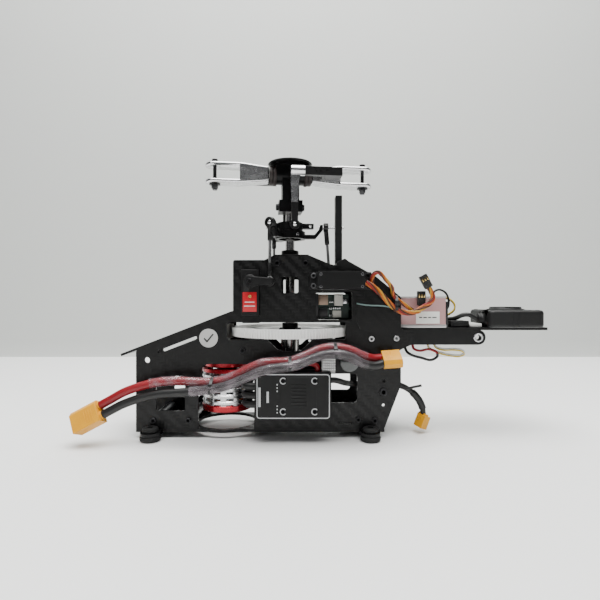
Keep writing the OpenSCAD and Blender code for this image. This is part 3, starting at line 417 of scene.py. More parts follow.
wall_grey = finish("grey wall", (0.5, 0.515, 0.5), (0.56, 0.572, 0.555), 0.75, grain=8, bump=0.02)
wall = mesh_piece("wall", shape, wall_grey, sharp=80)
for name, place, aim, size, power, tone in (
        ("top_lamp", (0.05, -0.1, 0.95), (0, 0, 0.05), 1.1, 24.0, (1, 1, 0.98)),
        ("near_lamp", (-0.6, -0.8, 0.65), (0, 0, 0.06), 0.5, 1.3, (0.97, 0.98, 1)),
        ("wall_lamp", (-0.1, -0.05, 0.8), (-0.15, 0.35, 0.3), 0.7, 4.0, (1, 1, 1))):
    light = bpy.data.lights.new(name, "AREA")
    light.shape = "DISK"
    light.size = size
    light.energy = power
    light.color = tone
    lamp = bpy.data.objects.new(name, light)
    lamp.location = place
    lamp.rotation_euler = (Vector(aim) - Vector(place)).to_track_quat("-Z", "Y").to_euler()
    bpy.context.scene.collection.objects.link(lamp)
world = bpy.data.worlds.new("studio")
world.use_nodes = True
world.node_tree.nodes["Background"].inputs["Color"].default_value = (0.86, 0.88, 0.9, 1)
world.node_tree.nodes["Background"].inputs["Strength"].default_value = 0.08
bpy.context.scene.world = world


# ---- Carbon plates ----
# The side plates, the bottom plate, the battery tray and the tail shelf are cut from carbon sheet:
# a twill of narrow black tows under clear resin.
def twill(name, first, second, tow=1.7):
    """Woven carbon under resin, its tows running along two of the object's axes."""
    material, shader = new_surface(name)
    tree, links = material.node_tree.nodes, material.node_tree.links
    shader.inputs["Specular IOR Level"].default_value = 0.25
    shader.inputs["Coat Weight"].default_value = 0.08
    shader.inputs["Coat Roughness"].default_value = 0.22
    place = tree.new("ShaderNodeTexCoord")
    split = tree.new("ShaderNodeSeparateXYZ")
    links.new(place.outputs["Object"], split.inputs["Vector"])

    def step(kind, a, b=None):
        node = tree.new("ShaderNodeMath")
        node.operation = kind
        for socket, value in zip(node.inputs, (a, b)):
            if isinstance(value, bpy.types.NodeSocket):
                links.new(value, socket)
            elif value is not None:
                socket.default_value = value
        return node.outputs["Value"]

    across = step("MULTIPLY", split.outputs[first], 1 / (tow * MM))
    along = step("MULTIPLY", split.outputs[second], 1 / (tow * MM))
    diagonal = step("ADD", step("FLOOR", across), step("FLOOR", along))
    over = step("LESS_THAN", step("FLOORED_MODULO", diagonal, 4.0), 2.0)
    crowns = [step("SINE", step("MULTIPLY", step("FRACT", way), pi)) for way in (across, along)]
    crown = tree.new("ShaderNodeMix")
    links.new(over, crown.inputs[0])
    links.new(crowns[0], crown.inputs[2])
    links.new(crowns[1], crown.inputs[3])
    fibre = add_noise(material, place.outputs["Object"], 900, 5)
    tone = tree.new("ShaderNodeMix")
    tone.data_type = "RGBA"
    tone.inputs[6].default_value = (0.0012, 0.0012, 0.0013, 1)
    tone.inputs[7].default_value = (0.0034, 0.0034, 0.0035, 1)
    links.new(step("MULTIPLY", over, step("ADD", fibre, 0.35)), tone.inputs[0])
    links.new(tone.outputs[2], shader.inputs["Base Color"])
    add_range(material, over, shader.inputs["Roughness"], 0.34, 0.52)
    add_relief(material, crown.outputs[0], shader.inputs["Normal"], 0.22, 0.25 * MM)
    return material


def paint(node, material):
    """Gives a CAD piece its material."""
    nodes[node].data.materials.clear()
    nodes[node].data.materials.append(material)


upright_carbon = twill("carbon sheet, upright", "X", "Z")
flat_carbon = twill("carbon sheet, flat", "X", "Y")
for node, material in (("side_plate_left", upright_carbon), ("side_plate_right", upright_carbon),
        ("bottom_plate", flat_carbon), ("battery_tray", flat_carbon), ("gps_shelf", flat_carbon)):
    paint(node, material)


# ---- Doubler, painted edge highlight and sticker on the near plate ----
# A second carbon layer is glued on behind the gear, with a pale teal strip along its top edge that is a
# painted highlight. A round paper sticker with a plain tick sits in front of the gear.
def draw_out(shape, face, depth):
    """Draws a flat face out towards the near side into a solid, and returns its moved corners."""
    drawn = bmesh.ops.extrude_face_region(shape, geom=[face])["geom"]
    corners = [v for v in drawn if isinstance(v, bmesh.types.BMVert)]
    bmesh.ops.translate(shape, vec=(0, -depth * MM, 0), verts=corners)
    return corners


plate_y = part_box("side_plate_left")[0].y / MM
shape = bmesh.new()
outline = [(34.5, 68.8), (40, 67.9), (48, 66.2), (57.2, 64.6), (57.2, 56.6), (46, 52.8), (36.6, 56),
    (34.5, 60)]
face = shape.faces.new([shape.verts.new(at(x, plate_y, z)) for x, z in outline])
draw_out(shape, face, 0.35)
coarse_carbon = twill("carbon sheet, coarse", "X", "Z", tow=1.3)
coarse_carbon.node_tree.nodes["Principled BSDF"].inputs["Coat Weight"].default_value = 0.14
doubler = mesh_piece("plate_doubler", shape, coarse_carbon)
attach(doubler, "frame")

# The pale teal strip along the doubler's top edge is a painted highlight.
edge_highlight_teal = finish("teal painted edge highlight", (0.09, 0.17, 0.16), (0.2, 0.28, 0.27), 0.4, grain=300)
shape = bmesh.new()
strip = [(34.6, 69.3), (38, 68.6), (42, 68.2), (47, 68), (52, 67.2), (57, 65.4)]
curve_mesh(shape, smooth([(x, plate_y - 0.35, z) for x, z in strip]), 0.75)
edge_highlight = mesh_piece("painted_edge_highlight", shape, edge_highlight_teal, sharp=60)
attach(edge_highlight, "frame")

paper_white = finish("sticker paper", (0.42, 0.42, 0.41), (0.5, 0.5, 0.49), 0.6, grain=700, bump=0.05)
ink = finish("black ink", (0.02, 0.02, 0.02), (0.035, 0.035, 0.035), 0.5, grain=700, bump=0.03)


def add_bar(shape, a, b, y, width, paint=0):
    """A thin printed bar between two places on an upright face."""
    start, end = at(a[0], y, a[1]), at(b[0], y, b[1])
    along = (end - start).normalized()
    side = along.cross(Vector((0, 1, 0))) * width / 2 * MM
    face = shape.faces.new([shape.verts.new(p)
        for p in (start - side, start + side, end + side, end - side)])
    for drawn in {f for v in draw_out(shape, face, 0.06) for f in v.link_faces}:
        drawn.material_index = paint


shape = bmesh.new()
sticker_x, sticker_z, tick_width = -41.6, 51.4, 0.8
add_rod(shape, at(sticker_x, plate_y + 0.1, sticker_z), at(sticker_x, plate_y - 0.14, sticker_z), 4.8 * MM,
    sides=64)
for a, b in (((-43.9, 51.3), (-42.3, 49.5)), ((-42.5, 49.4), (-39.2, 53.5))):
    add_bar(shape, a, b, plate_y - 0.12, tick_width, 1)
sticker = mesh_piece("round_sticker", shape, paper_white, ink)
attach(sticker, "frame")


# ---- Screws ----
# Socket-head screws with a hexagon recess hold the plates from both sides: two bright pairs by the
# tail boom, and black ones elsewhere.
def add_screw(shape, place, along, radius, height, paint=0):
    """A screw head with its top bevelled and a hexagon socket, facing along."""
    turn = Matrix.Translation(place) @ along.to_track_quat("Z", "Y").to_matrix().to_4x4()
    old_faces, old_verts = set(shape.faces), set(shape.verts)
    rings = []
    for segments, size, level in ((24, radius, 0), (24, radius, height * 0.8), (24, radius * 0.9, height),
            (6, radius * 0.58, height), (6, radius * 0.55, height * 0.1)):
        ring = bmesh.ops.create_circle(shape, segments=segments, radius=size,
            matrix=Matrix.Translation((0, 0, level)))
        rings.append(list({e for v in ring["verts"] for e in v.link_edges}))
    for low, high in zip(rings, rings[1:]):
        bmesh.ops.bridge_loops(shape, edges=low + high)
    for ring in (rings[0], rings[-1]):
        bmesh.ops.contextual_create(shape, geom=ring)
    bmesh.ops.transform(shape, matrix=turn, verts=list(set(shape.verts) - old_verts))
    for face in set(shape.faces) - old_faces:
        face.material_index = paint


bright_steel = finish("bright steel", (0.55, 0.55, 0.56), (0.7, 0.7, 0.71), 0.28, metallic=1.0, grain=500)
dull_steel = finish("dull steel", (0.1, 0.1, 0.105), (0.16, 0.16, 0.165), 0.4, metallic=1.0, grain=500)
black_steel = finish("black steel", (0.018, 0.018, 0.019), (0.035, 0.035, 0.037), 0.36, metallic=0.9,
    grain=600)
frame_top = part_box("side_plate_left")[1].z / MM
shape = bmesh.new()
for x, z, bright in ((42.3, 51, 0), (55.1, 51.2, 0), (-24, 45, 1), (-70, 9, 1), (-52, 9, 1), (44, 9, 1),
        (35.5, 9.5, 1), (8.3, frame_top - 4, 1), (-6.3, frame_top - 4, 1)):
    for side in (-1, 1):
        add_screw(shape, at(x, -side * plate_y, z), Vector((0, side, 0)), 1.45 * MM, 0.9 * MM, bright)
        add_rod(shape, at(x, -side * plate_y, z), at(x, -side * (plate_y + 3.5), z), 0.88 * MM, sides=12,
            paint=bright)
screws = mesh_piece("frame_screws_finish", shape, bright_steel, black_steel)
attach(screws, "frame")
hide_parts("frame_screws")


# ---- Spacers, bearing blocks, motor plate and feet ----
# Turned aluminium spacers hold the plates apart, machined blocks carry the bearings, and moulded
# rubber feet with a lip take a landing skid's screws.
def spin_outline(shape, corners, centre, axis, steps):
    """A closed outline turned all the way about an axis, added to a bmesh."""
    ring = [shape.verts.new(corner) for corner in corners]
    edges = [shape.edges.new(pair) for pair in zip(ring, ring[1:] + ring[:1])]
    bmesh.ops.spin(shape, geom=ring + edges, cent=centre, axis=axis, angle=2 * pi, steps=steps,
        use_merge=True)


grey_alloy = finish("grey anodised", (0.07, 0.07, 0.075), (0.11, 0.11, 0.115), 0.36, metallic=0.9,
    grain=500)
black_alloy = finish("black anodised", (0.002, 0.002, 0.0022), (0.0055, 0.0055, 0.0058), 0.34, metallic=0.6,
    grain=500, bump=0.12)
rubber = finish("foot rubber", (0.004, 0.004, 0.004), (0.009, 0.009, 0.009), 0.7, grain=500, bump=0.3)
paint("frame_spacers", grey_alloy)
for node, width in (("bearing_blocks", 0.35), ("motor_mount", 0.3)):
    softened(node, "frame", width, black_alloy)
feet_low, feet_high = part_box("rubber_feet")
foot_radius = 5.25
foot_outline = [(1.5, 0), (3.4, 0), (4.4, 0.15), (5, 0.5), (5.2, 1.1), (5.2, 2.1), (4.9, 2.7), (4.2, 2.98),
    (2.55, 3), (2.55, 4.52), (3.7, 4.55), (4, 5), (3.95, 6.1), (3.5, 6.7), (1.5, 6.85)]
shape = bmesh.new()
for x in (feet_low.x + foot_radius * MM, feet_high.x - foot_radius * MM):
    for y in (feet_low.y + foot_radius * MM, feet_high.y - foot_radius * MM):
        spin_outline(shape, [(x + r * MM, y, z * MM) for r, z in foot_outline], (x, y, 0), (0, 0, 1), 40)
feet = mesh_piece("rubber_feet_finish", shape, rubber, sharp=50)
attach(feet, "frame")
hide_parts("rubber_feet")

# ---- Motor ----
# An outrunner: a silver bell with red bands, ringed by cooling ribs and pierced by windows that
# show the copper of the fixed windings. A red boss clamps it under the motor plate.
motor_low, motor_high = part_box("motor_bell")
motor_x = ((motor_low.x + motor_high.x) / 2 - shaft.x) / MM
bell_low = motor_low.z / MM
bell_top = bell_low + 23
bell_r = (motor_high.x - motor_low.x) / 2 / MM


def lathe(shape, x, outline, steps=72, paint=0):
    """A closed outline of radius and height turned about an upright axis at x, added to a bmesh."""
    old = set(shape.faces)
    spin_outline(shape, [at(x + r, 0, z) for r, z in outline], at(x, 0, 0), (0, 0, 1), steps)
    for face in set(shape.faces) - old:
        face.material_index = paint


def turned_about(x, z, angle):
    """A turn in degrees about the upright axis at x, from height z."""
    return Matrix.Translation(at(x, 0, z)) @ Matrix.Rotation(radians(angle), 4, "Z")


motor_silver = finish("turned aluminium", (0.5, 0.5, 0.51), (0.66, 0.66, 0.67), 0.26, metallic=1.0,
    grain=500, stretch=(1, 1, 6))
motor_red = finish("red anodised", (0.3, 0.006, 0.014), (0.42, 0.012, 0.022), 0.28, metallic=0.75,
    grain=500, coat=0.3)
copper = finish("copper winding", (0.5, 0.17, 0.07), (0.62, 0.25, 0.1), 0.35, metallic=1.0, grain=700,
    stretch=(1, 1, 8))
lamination = finish("iron lamination", (0.05, 0.05, 0.055), (0.09, 0.09, 0.09), 0.4, metallic=0.8,
    grain=700, stretch=(1, 1, 12))
shape = bmesh.new()
lathe(shape, motor_x, [(bell_r - 1.6, bell_low), (bell_r - 0.5, bell_low), (bell_r, bell_low + 0.5),
    (bell_r, bell_low + 3.1), (bell_r - 0.3, bell_low + 3.4), (bell_r - 1.6, bell_low + 3.4)], paint=1)
lathe(shape, motor_x, [(bell_r - 1.6, bell_top - 2.4), (bell_r - 0.3, bell_top - 2.4),
    (bell_r, bell_top - 2.1), (bell_r, bell_top - 0.5), (bell_r - 0.5, bell_top), (bell_r - 1.6, bell_top)],
    paint=1)
for i in range(5):
    low = bell_low + 3.5 + 3.45 * i
    lathe(shape, motor_x, [(bell_r - 1.7, low), (bell_r - 0.7, low), (bell_r - 0.1, low + 0.7),
        (bell_r - 0.1, low + 1.9), (bell_r - 0.7, low + 2.6), (bell_r - 1.7, low + 2.6)])
for angle in range(0, 360, 30):
    turn = turned_about(motor_x, 0, angle)
    add_block(shape, Vector((bell_r - 1.75, -1.5, bell_low + 3.2)) * MM,
        Vector((bell_r - 0.35, 1.5, bell_top - 2.2)) * MM, 0.2 * MM, 0, turn)
for angle in range(0, 360, 60):
    turn = turned_about(motor_x, 0, angle)
    add_block(shape, Vector((3, -1.3, bell_low + 0.1)) * MM,
        Vector((bell_r - 1.2, 1.3, bell_low + 1.9)) * MM, 0.3 * MM, 1, turn)
lathe(shape, motor_x, [(1.45, bell_low), (4.4, bell_low), (4.8, bell_low + 0.4), (4.8, bell_low + 2),
    (1.45, bell_low + 2)], paint=1)
add_rod(shape, at(motor_x, 0, bell_low), at(motor_x, 0, motor_high.z / MM), 1.5 * MM, paint=2,
    bevel=0.2 * MM)
bell = mesh_piece("motor_bell_finish", shape, motor_silver, motor_red, bright_steel)
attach(bell, "motor")
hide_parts("motor_bell")

base_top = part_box("motor_base")[1].z / MM
shape = bmesh.new()
lathe(shape, motor_x, [(1.55, base_top - 3), (bell_r - 1.6, base_top - 3), (bell_r - 1, base_top - 2.5),
    (bell_r - 1, base_top - 0.5), (bell_r - 1.5, base_top), (1.55, base_top)])
lathe(shape, motor_x, [(1.55, bell_low + 4.2), (5.4, bell_low + 4.2), (5.4, base_top - 3),
    (1.55, base_top - 3)], paint=2)
for angle in range(0, 360, 30):
    turn = turned_about(motor_x, 0, angle + 15)
    add_block(shape, Vector((5, -1.1, bell_low + 4.6)) * MM, Vector((9.6, 1.1, bell_top - 3)) * MM,
        0.9 * MM, 1, turn)
    add_block(shape, Vector((9.2, -2.2, bell_low + 6)) * MM, Vector((10.6, 2.2, bell_top - 4)) * MM,
        0.2 * MM, 2, turn)
lathe(shape, motor_x, [(1.9, base_top + 2), (8.6, base_top + 2), (8.6, base_top + 3.4), (6.4, base_top + 5),
    (3.4, base_top + 5.6), (1.9, base_top + 5.6)])
stator = mesh_piece("motor_base_finish", shape, motor_red, copper, lamination)
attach(stator, "frame")
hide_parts("motor_base")

# ---- Gear train and shaft ----
# A white moulded main gear screwed to a black hub, a steel pinion, and below the gear a toothed
# belt pulley. The ground steel shaft runs up through two ball bearings.
gear_white = finish("white gear plastic", (0.72, 0.72, 0.7), (0.82, 0.82, 0.81), 0.38, grain=350, bump=0.08)
ground_steel = finish("ground steel", (0.42, 0.41, 0.4), (0.58, 0.57, 0.56), 0.22, metallic=1.0, grain=700,
    stretch=(1, 1, 0.15))
pinion_steel = finish("pinion steel", (0.3, 0.29, 0.27), (0.42, 0.41, 0.39), 0.35, metallic=1.0, grain=600)
for node, material in (("main_gear", gear_white), ("pinion", pinion_steel), ("main_shaft", ground_steel),
        ("feathering_spindle", ground_steel), ("shaft_bearings", bright_steel),
        ("belt_pulley", ground_steel)):
    paint(node, material)
softened("gear_hub", "rotor", 0.3, black_alloy)
softened("shaft_collar", "rotor", 0.35, black_alloy)
low, high = (corner.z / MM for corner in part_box("belt_pulley"))
shape = bmesh.new()
for start, end in ((low - 0.02, low + 1.3), (high - 1.3, high - 0.02)):
    lathe(shape, 0, [(2.52, start), (6.1, start), (6.3, start + 0.2), (6.3, end - 0.2), (6.1, end),
        (2.52, end)])
flanges = mesh_piece("pulley_flanges", shape, black_alloy)
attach(flanges, "rotor")

# ---- Swashplate ----
# A black anodised lower ring with three bent arms and an upper ring that turns on a ball bearing,
# about a bright ball that slides on the shaft. Its link balls are polished steel.
uniball = finish("polished ball", (0.6, 0.6, 0.61), (0.72, 0.72, 0.73), 0.12, metallic=1.0, grain=400,
    bump=0.03)
paint("swash_uniball", uniball)
softened("swash_lower_ring", "swash", 0.25, black_alloy)
softened("swash_upper_ring", "swash_top", 0.25, black_alloy)
swash_z = 111
arm_reach = 19.8
ball_radius = 1.53
park = 7
shape = bmesh.new()
for angle in (0, 120, 240):
    turn = turned_about(0, swash_z, angle)
    bmesh.ops.create_uvsphere(shape, u_segments=24, v_segments=16, radius=ball_radius * MM,
        matrix=turn @ Matrix.Translation(Vector((arm_reach, 0, 0)) * MM))
    start, end = (turn @ (Vector((x, 0, 0)) * MM) for x in (16, 19))
    add_rod(shape, start, end, 0.84 * MM, sides=16)
add_rod(shape, at(19.5, 0, swash_z), at(29.82, 0, swash_z), 0.64 * MM, sides=16, bevel=0.2 * MM)
for angle in (60, 180, 300):
    place = Matrix.Rotation(radians(angle), 4, "Z") @ (Vector((8.4, 0, 0)) * MM)
    add_screw(shape, at(0, 0, swash_z - 4.6) + place, place.normalized(), 0.9 * MM, 0.5 * MM)
balls = mesh_piece("swash_balls", shape, uniball)
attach(balls, "swash")
shape = bmesh.new()
for side in (-1, 1):
    turn = turned_about(0, swash_z, park + (180 if side > 0 else 0))
    bmesh.ops.create_uvsphere(shape, u_segments=24, v_segments=16, radius=ball_radius * MM,
        matrix=turn @ Matrix.Translation(Vector((1.3, -11.5, 0)) * MM))
    start, end = (turn @ (Vector((1.3, y, 0)) * MM) for y in (-6.5, -11))
    add_rod(shape, start, end, 0.84 * MM, sides=16)
ring_z = swash_z + 2.1
lathe(shape, 0, [(4.4, ring_z), (6, ring_z), (6, ring_z + 0.45), (4.4, ring_z + 0.45)], steps=48)
upper_balls = mesh_piece("swash_top_balls", shape, uniball)
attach(upper_balls, "swash_top")

# ---- Rotor hub ----
# The machined hub clamps the shaft below and carries the feathering spindle above, in brown rubber
# dampers. A wide black disc with a shallow dish caps it.
softened("rotor_hub", "rotor", 0.45, black_alloy, segments=3)
damper_rubber = finish("damper rubber", (0.01, 0.006, 0.006), (0.018, 0.01, 0.009), 0.55, grain=500,
    bump=0.2)
head_z = 139.5
shape = bmesh.new()
for side in (-1, 1):
    for start, end, radius in ((7.6, 9.4, 5.5), (9.6, 11.45, 5.25)):
        add_rod(shape, Vector((side * start, 0, head_z)) * MM, Vector((side * end, 0, head_z)) * MM,
            radius * MM, sides=48, bevel=0.4 * MM)
bmesh.ops.transform(shape, matrix=turned_about(0, 0, park), verts=shape.verts)
dampers = mesh_piece("hub_dampers", shape, damper_rubber)
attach(dampers, "rotor")
cap_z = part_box("head_button")[1].z / MM
shape = bmesh.new()
lathe(shape, 0, [(0.01, cap_z - 2), (7, cap_z - 2), (10.4, cap_z - 1.9), (11.8, cap_z - 1.45),
    (12.2, cap_z - 1.05), (12, cap_z - 0.75), (11.2, cap_z - 0.45), (9, cap_z - 0.12), (5.4, cap_z),
    (4.8, cap_z - 0.5), (0.01, cap_z - 0.5)])
lathe(shape, 0, [(0.01, cap_z - 4.9), (1.24, cap_z - 4.9), (1.24, cap_z - 2), (0.01, cap_z - 2)], steps=24)
cap = mesh_piece("head_button_finish", shape, black_alloy, sharp=28)
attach(cap, "rotor")
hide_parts("head_button")
shape = bmesh.new()
clamp = at(0, 0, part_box("rotor_hub")[0].z / MM + 3.2)
across = Vector((cos(radians(park)), sin(radians(park)), 0))
clamp_half = across * 6.4 * MM
for side in (-1, 1):
    add_screw(shape, clamp + clamp_half * side, across * side, 1.8 * MM, 1.5 * MM)
add_rod(shape, clamp - clamp_half, clamp + clamp_half, 0.97 * MM, sides=16)
gear_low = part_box("main_gear")[0].z / MM
for angle in range(45, 360, 90):
    place = Matrix.Rotation(radians(angle), 4, "Z") @ (Vector((6.3, 0, 0)) * MM)
    add_screw(shape, at(0, 0, gear_low + 2.5) + place, Vector((0, 0, 1)), 1.5 * MM, 1.1 * MM)
    add_rod(shape, at(0, 0, gear_low - 0.8) + place, at(0, 0, gear_low + 2.5) + place, 0.78 * MM, sides=12)
hub_screws = mesh_piece("rotor_bolts_finish", shape, black_steel)
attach(hub_screws, "rotor")
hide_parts("rotor_bolts")

# ---- Blade grips and pitch links ----
# Each grip is machined from bright aluminium, with a black plastic pitch arm on one side and a
# black bolt through its fork. A link, polished above and black at its foot, runs to the swashplate.
polished = finish("polished aluminium", (0.62, 0.62, 0.63), (0.8, 0.8, 0.81), 0.25, metallic=1.0, grain=350,
    stretch=(0.3, 1, 1), bump=0.06)
arm_plastic = finish("black arm plastic", (0.004, 0.004, 0.004), (0.01, 0.01, 0.0105), 0.3, grain=500,
    bump=0.1)
fork_half = 5.5
bolt_reach = 41
nut_radius = 1.95
for end, side in (("front", -1), ("rear", 1)):
    out = across * side
    softened("blade_grip_" + end, "grip_" + end, 0.75, polished, segments=4, clamp=False)
    softened("grip_arm_" + end, "grip_" + end, 0.4, arm_plastic)
    softened("drive_arm_" + end, "drive_" + end, 0.35, polished, arm_plastic, segments=3,
        below=122.5)
    shape = bmesh.new()
    bolt = at(0, 0, 0) + out * bolt_reach * MM
    low, high = head_z - fork_half, head_z + fork_half
    for start, stop, radius, kind in (
            (low - 3, high + 0.5, 1, 0), (low - 0.6, low, 3, 0), (high, high + 0.5, 2.9, 0),
            (low - 2.6, low - 0.6, nut_radius, 1), (low - 3.4, low - 2.6, 1.3, 1)):
        add_rod(shape, bolt + Vector((0, 0, start)) * MM, bolt + Vector((0, 0, stop)) * MM, radius * MM,
            sides=6 if radius == nut_radius else 24, paint=kind, bevel=0.1 * MM)
    add_screw(shape, bolt + Vector((0, 0, high + 0.5)) * MM, Vector((0, 0, 1)), 1.65 * MM, 1.85 * MM)
    bolts = mesh_piece("blade_bolt_%s_finish" % end, shape, black_steel, dull_steel)
    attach(bolts, "grip_" + end)
    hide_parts("blade_bolt_" + end)

# ---- Servos, horns and pushrods ----
# Black plastic servo cases, with a red label on the near one. Their horns push steel rods whose ends
# are black ball sockets.
servo_plastic = finish("servo case", (0.0015, 0.0015, 0.0017), (0.0034, 0.0034, 0.0036), 0.4, shine=0.3,
    grain=600, bump=0.12)
horn_plastic = finish("horn plastic", (0.002, 0.002, 0.0022), (0.005, 0.005, 0.0052), 0.42, shine=0.3,
    grain=600, bump=0.12)
socket_plastic = finish("socket plastic", (0.004, 0.004, 0.004), (0.01, 0.01, 0.01), 0.28, grain=600)
rod_steel = finish("pushrod steel", (0.3, 0.3, 0.3), (0.42, 0.42, 0.42), 0.3, metallic=1.0, grain=700)
label_red = finish("red label", (0.4, 0.008, 0.014), (0.5, 0.012, 0.02), 0.32, grain=400, bump=0.03)
label_white = finish("white print", (0.55, 0.5, 0.5), (0.65, 0.6, 0.6), 0.45, grain=400, bump=0.02)
for node in ("servo_left", "servo_right", "servo_rear"):
    softened(node, "frame", 0.4, servo_plastic)
for side in ("left", "right", "rear"):
    softened("servo_horn_" + side, "horn_" + side, 0.2, horn_plastic)
servo_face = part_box("servo_left")[0].y / MM + 1.2
shape = bmesh.new()
add_block(shape, at(-23.7, servo_face - 0.14, 65), at(-16.6, servo_face + 0.05, 75), 0.04 * MM)
for z, left, right in ((69.9, -22.6, -17.7), (67.9, -23, -17.4)):
    add_bar(shape, (left, z), (right, z), servo_face - 0.12, 0.45, 1)
add_rod(shape, at(-20.1, servo_face - 0.1, 72.8), at(-20.1, servo_face - 0.2, 72.8), 0.9 * MM, sides=20,
    paint=2)
label = mesh_piece("servo_label", shape, label_red, label_white, gold)
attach(label, "frame")
shape = bmesh.new()
rear_low, rear_high = ((corner - shaft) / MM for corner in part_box("servo_rear"))
rear_bottom, rear_top = (corner.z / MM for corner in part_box("servo_rear"))
nearward = Vector((0, -1, 0))
for x in (rear_low.x + 1.9, rear_high.x - 1.9):
    for z in (rear_bottom + 1.9, rear_top - 1.9):
        add_screw(shape, at(x, plate_y - 1.5, z), nearward, 1.4 * MM, 0.9 * MM, 1 if x < 20 else 0)
for x in (rear_low.x + 5.4, rear_high.x - 5.4):
    for z in (rear_bottom + 1.4, rear_top - 1.4):
        add_screw(shape, at(x, rear_low.y + 0.05, z), nearward, 0.8 * MM, 0.2 * MM, 1)
add_screw(shape, at(48.4, plate_y, 23.6), nearward, 2 * MM, 0.8 * MM, 0)
for side in (-1, 1):
    add_screw(shape, at(-20, side * (2.8 - servo_face), 80.5), Vector((0, side, 0)), 1.5 * MM, 0.9 * MM, 0)
servo_screws = mesh_piece("servo_screws", shape, black_steel, dull_steel)
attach(servo_screws, "frame")


def add_socket(shape, centre, axis, rod_way, hole, thick=2.6):
    """A ball socket: a ring around the ball, with a neck that grips the rod."""
    turn = Matrix.Translation(centre) @ axis.to_track_quat("Z", "Y").to_matrix().to_4x4()
    old = set(shape.verts)
    outer = hole + 0.95
    outline = [(hole, -thick / 2), (outer - 0.3, -thick / 2), (outer, -thick / 2 + 0.3),
        (outer, thick / 2 - 0.3), (outer - 0.3, thick / 2), (hole, thick / 2)]
    spin_outline(shape, [Vector((r, 0, z)) * MM for r, z in outline], (0, 0, 0), (0, 0, 1), 36)
    bmesh.ops.transform(shape, matrix=turn, verts=list(set(shape.verts) - old))
    start = centre + rod_way * (hole + 0.6) * MM
    add_rod(shape, start, centre + rod_way * 9.6 * MM, 1.3 * MM, sides=24, bevel=0.4 * MM)


for side, low, angle, hole in (("left", (-10, -19.3, 80.5), 240, 1.87),
        ("right", (-10, 19.3, 80.5), 120, 1.87), ("rear", (22, -1.9, 80.8), 0, 1.62)):
    foot = at(*low)
    way = Vector((cos(radians(angle)), sin(radians(angle)), 0))
    head = at(0, 0, swash_z) + way * arm_reach * MM
    along = (head - foot).normalized()
    shape = bmesh.new()
    add_socket(shape, foot, Vector((0, 1, 0)), along, 1.58)
    add_socket(shape, head, way, -along, hole)
    add_rod(shape, foot + along * 8 * MM, head - along * 8 * MM, 0.78 * MM, sides=16, paint=1)
    out_way = Vector((0, 1 if foot.y > 0 else -1, 0))
    add_screw(shape, foot + out_way * 1.35 * MM, out_way, 1.2 * MM, 0.5 * MM, 1)
    piece = mesh_piece("pushrod_%s_finish" % side, shape, socket_plastic, rod_steel)
    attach(piece, "rod_" + side)
    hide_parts("pushrod_" + side)

# ---- Guide post ----
# A black fork of machined plastic stands on the rear deck. The swashplate's long pin slides in its
# slot, so the lower ring can't turn.
guide_plastic = finish("guide plastic", (0.0015, 0.0015, 0.0017), (0.004, 0.004, 0.0042), 0.45, shine=0.3,
    grain=500, bump=0.14)
softened("guide_post", "frame", 0.6, guide_plastic, segments=3)

# ---- Speed controller ----
# A flat black case with a printed white border, four cover screws and a row of dashes, with two
# plain bars where its name would be. A capacitor and a circuit board stand above its tail end.
case_plastic = finish("controller case", (0.0012, 0.0012, 0.0014), (0.003, 0.003, 0.0032), 0.42, shine=0.25,
    grain=500, bump=0.1)
foil = finish("clear foil over grey", (0.008, 0.01, 0.01), (0.03, 0.036, 0.036), 0.18, grain=120, bump=0.5,
    coat=0.8)
softened("speed_controller", "frame", 0.5, case_plastic, segments=3)
case_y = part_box("speed_controller")[0].y / MM
case_nose, case_tail, case_bottom, case_top = -16.3, 20.7, 12.6, 35.6
print_white = finish("printed white", (0.5, 0.51, 0.52), (0.6, 0.61, 0.62), 0.5, grain=500, bump=0.02)
shape = bmesh.new()
inset, bend, stroke = 0.9, 1.3, 0.42
border = []
for x, z, start in ((case_tail, case_top, 0), (case_nose, case_top, 90), (case_nose, case_bottom, 180),
        (case_tail, case_bottom, 270)):
    x += inset + bend if x == case_nose else -inset - bend
    z += inset + bend if z == case_bottom else -inset - bend
    border += [(x + bend * cos(radians(start + t)), z + bend * sin(radians(start + t)))
        for t in (0, 22, 45, 68, 90)]
for a, b in zip(border, border[1:] + border[:1]):
    add_bar(shape, a, b, case_y, stroke)
for z in (16.2, 17.8, 19.4, 26.6, 28.2, 29.8):
    add_bar(shape, (-5.6, z - 0.35), (-5.6, z + 0.35), case_y, 0.5)
for x, low, high in ((-14.2, 19, 28.4), (-10.2, 21, 26.4)):
    add_bar(shape, (x, low), (x, high), case_y, 1.1)
cover_screws = [(x, z) for x in (-2.7, 12.7) for z in (case_bottom + 4, case_top - 4)]
for x, z in cover_screws:
    for angle in range(40, 320, 20):
        a, b = ((x + 1.45 * cos(radians(t)), z + 1.45 * sin(radians(t))) for t in (angle, angle + 21))
        add_bar(shape, a, b, case_y, stroke)
prints = mesh_piece("controller_print", shape, print_white)
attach(prints, "frame")
shape = bmesh.new()
for x, z in cover_screws:
    add_screw(shape, at(x, case_y + 0.6, z), Vector((0, -1, 0)), 1.25 * MM, 0.75 * MM)
for i in range(7):
    z = case_bottom + 6.4 + 1.7 * i
    add_block(shape, at(1.2, case_y - 0.14, z), at(8.6, case_y + 0.05, z + 0.7), 0.06 * MM, 1)
case_screws = mesh_piece("controller_screws", shape, black_steel, case_plastic)
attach(case_screws, "frame")
shape = bmesh.new()
can_x, can_z = 30, 40
add_rod(shape, at(can_x, -26.9, can_z), at(can_x, -18.2, can_z), 4.75 * MM, sides=48, bevel=0.9 * MM)
bmesh.ops.create_uvsphere(shape, u_segments=32, v_segments=16, radius=4.4 * MM,
    matrix=Matrix.Translation(at(can_x, -26.2, can_z)) @ Matrix.Diagonal((1, 0.35, 1, 1)))
capacitor = mesh_piece("capacitor_wrap", shape, foil)
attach(capacitor, "frame")
